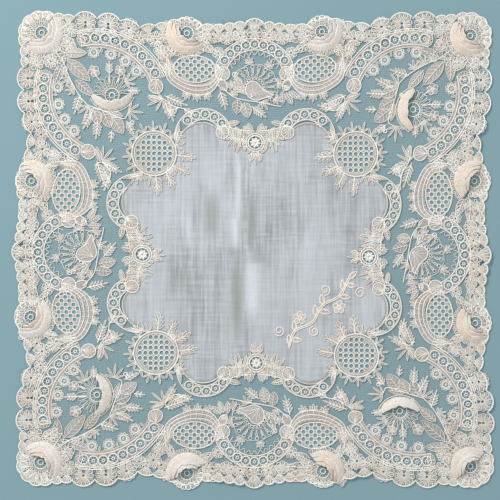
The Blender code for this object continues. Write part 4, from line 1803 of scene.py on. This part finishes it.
def raised_rose(rose, thickness):
    """The overlapping petals of one rose, as one piece."""
    single = rose.name.startswith("inner")
    outer, width = rose.radius, rose.width
    if single:
        layers = [(outer, outer - width, 1.1, rose.rise, rose.warm)]
    else:
        middling = (rose.cool + rose.warm) / 2
        layers = [
            (outer, outer - width * 0.46, 1.0, rose.rise * 0.62, rose.cool),
            (outer - width * 0.26, outer - width * 0.74, 1.2, rose.rise * 0.95, middling),
            (outer - width * 0.52, outer - width, 1.4, rose.rise * 1.12, rose.warm),
        ]
    points, faces, tints, stitches, rims = [], [], [], [], []
    for i, (far, near, foot, height, warmth) in enumerate(layers):
        grid, quads, rows_of_stitch = petal_grid(rose, far, near, foot, height, 1.7 * i + rose.facing)
        stitches.append(rows_of_stitch + (0, 0, i))
        start = sum(len(part) for part in points)
        points.append(grid)
        faces += [[corner + start for corner in quad] for quad in quads]
        tints += [warmth] * len(grid)
        lines = grid.reshape(PETAL_ROWS, PETAL_COLUMNS, 3)
        rims.append((lines[:, -1], 0.5 * MM, False))
        rims.append((lines[:, 0], 0.45 * MM, False))
    made = new_object(f"petals_{rose.name}", np.vstack(points), faces)
    point_values(made, "warmth", tints)
    stitch = made.data.attributes.new("stitch", "FLOAT_VECTOR", "POINT")
    stitch.data.foreach_set("vector", np.vstack(stitches).ravel())
    thickened(made, thickness)
    finish_with(made, petal_material())
    nodes = [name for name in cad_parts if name.startswith(f"petal_{rose.name}_")]
    worn(made, *nodes)
    return rims


class LACE_OT_embroidery(bpy.types.Operator):
    """Works a sprig of leaves and two blossoms on one corner of the linen"""

    bl_idname = "lace.embroidery"
    bl_label = "Embroidered sprig"

    def execute(self, context):
        work = Lace()
        work.true_square = False
        work.level = EMBROIDERY_LEVEL
        spine = curve_through([(-30, -3), (-20, 2), (-8, -1.5), (4, 2), (16, -1), (28, 3)])
        for across in (-0.55, 0.55):
            work.cord(moved(spine + (0, across), *SPRIG_PLACE, SPRIG_ANGLE), 0.75)
        for along, side, length in SPRIG_LEAVES:
            near = spine[np.abs(spine[:, 0] - along).argmin()]
            base = placed(near, *SPRIG_PLACE, SPRIG_ANGLE)
            satin_leaf(work, *base, SPRIG_ANGLE + side * 52, length)
        for along, across in SPRIG_BLOSSOMS:
            place = placed((along, across), *SPRIG_PLACE, SPRIG_ANGLE)
            for i in range(5):
                petal = spoke(place, 2.6, 72 * i + 15)
                work.ring(*petal, 1.5, 0.7, 10)
                work.ring(*petal, 0.7, 0.46, 7)
            work.ring(*place, 0.8, 0.7, 8)
        for along, across, start in SPRIG_CURLS:
            place = placed((along, across), *SPRIG_PLACE, SPRIG_ANGLE)
            bud(work, *place, start, 3.6)
        strands = []
        for points, width, closed, level in work.cords:
            strands.append((to_world(points, relief(points) + level + width * 0.3), width * MM, closed))
        made = threads("embroidered_sprig", strands, 6, embroidery_material())
        worn(made)
        return {"FINISHED"}


class LACE_OT_raised_petals(bpy.types.Operator):
    """Sews the cupped petals on the roses"""

    bl_idname = "lace.raised_petals"
    bl_label = "Raised petals"

    def execute(self, context):
        rims = []
        for rose in ROSES:
            rims += raised_rose(rose, context.scene.lace_sizes.petal_thick)
        made = threads("petal_rims", rims, 5, cord_material())
        worn(made)
        return {"FINISHED"}


class LACE_OT_stage(bpy.types.Operator):
    """Sets the plain floor, the soft lights and the camera"""

    bl_idname = "lace.stage"
    bl_label = "Floor, lights and camera"

    def execute(self, context):
        corners = [(x * FLOOR_REACH, y * FLOOR_REACH, 0) for x, y in ((-1, -1), (1, -1), (1, 1), (-1, 1))]
        floor = new_object("floor", corners, [(0, 1, 2, 3)])
        material, _, shader, _ = new_material("floor", 0.9, 0.0)
        shader.inputs["Base Color"].default_value = shade(context.scene.lace_colours.floor, 1.0)
        finish_with(floor, material)
        world = bpy.data.worlds.new("studio")
        world.use_nodes = True
        light = world.node_tree.nodes["Background"].inputs
        light["Color"].default_value = (1.0, 1.0, 1.0, 1.0)
        light["Strength"].default_value = STUDIO_STRENGTH
        context.scene.world = world
        context.scene.view_settings.view_transform = "Standard"
        for name, place, size, power in LAMPS:
            lamp = bpy.data.lights.new(name, "AREA")
            lamp.size = size
            lamp.energy = power
            made = bpy.data.objects.new(name, lamp)
            made.location = place
            made.rotation_euler = (-Vector(place)).to_track_quat("-Z", "Y").to_euler()
            context.scene.collection.objects.link(made)
        lens = bpy.data.cameras.new("camera")
        lens.lens = LENS_MM
        lens.sensor_width = SENSOR_MM
        camera = bpy.data.objects.new("camera", lens)
        away = PHOTO_PIXELS * PHOTO_PIXEL * MM * lens.lens / lens.sensor_width
        camera.location = (VIEW_X * MM, VIEW_Y * MM, away)
        context.scene.collection.objects.link(camera)
        context.scene.camera = camera
        return {"FINISHED"}


class LACE_PT_panel(bpy.types.Panel):
    """Lists the handkerchief's pieces, sizes and colours"""

    bl_idname = "LACE_PT_panel"
    bl_label = "Lace handkerchief"
    bl_space_type = "VIEW_3D"
    bl_region_type = "UI"
    bl_category = "Lace"

    def draw(self, context):
        for group in (context.scene.lace_sizes, context.scene.lace_colours):
            for name in group.bl_rna.properties.keys():
                if name not in ("rna_type", "name"):
                    self.layout.prop(group, name)
        for operator in OPERATORS:
            self.layout.operator(operator.bl_idname)


OPERATORS = (
    LACE_OT_stage,
    LACE_OT_linen,
    LACE_OT_net,
    LACE_OT_cloth_stitch,
    LACE_OT_outline_threads,
    LACE_OT_rings,
    LACE_OT_raised_petals,
    LACE_OT_embroidery,
)
CLASSES = (LaceSizes, LaceColours, *OPERATORS, LACE_PT_panel)


def register():
    for cls in CLASSES:
        bpy.utils.register_class(cls)
    bpy.types.Scene.lace_sizes = bpy.props.PointerProperty(type=LaceSizes)
    bpy.types.Scene.lace_colours = bpy.props.PointerProperty(type=LaceColours)


def unregister():
    del bpy.types.Scene.lace_colours
    del bpy.types.Scene.lace_sizes
    for cls in reversed(CLASSES):
        bpy.utils.unregister_class(cls)


def main():
    register()
    bpy.ops.lace.stage()
    bpy.ops.lace.linen()
    bpy.ops.lace.net()
    bpy.ops.lace.cloth_stitch()
    bpy.ops.lace.outline_threads()
    bpy.ops.lace.rings()
    bpy.ops.lace.raised_petals()
    bpy.ops.lace.embroidery()


if __name__ == "__main__":
    main()
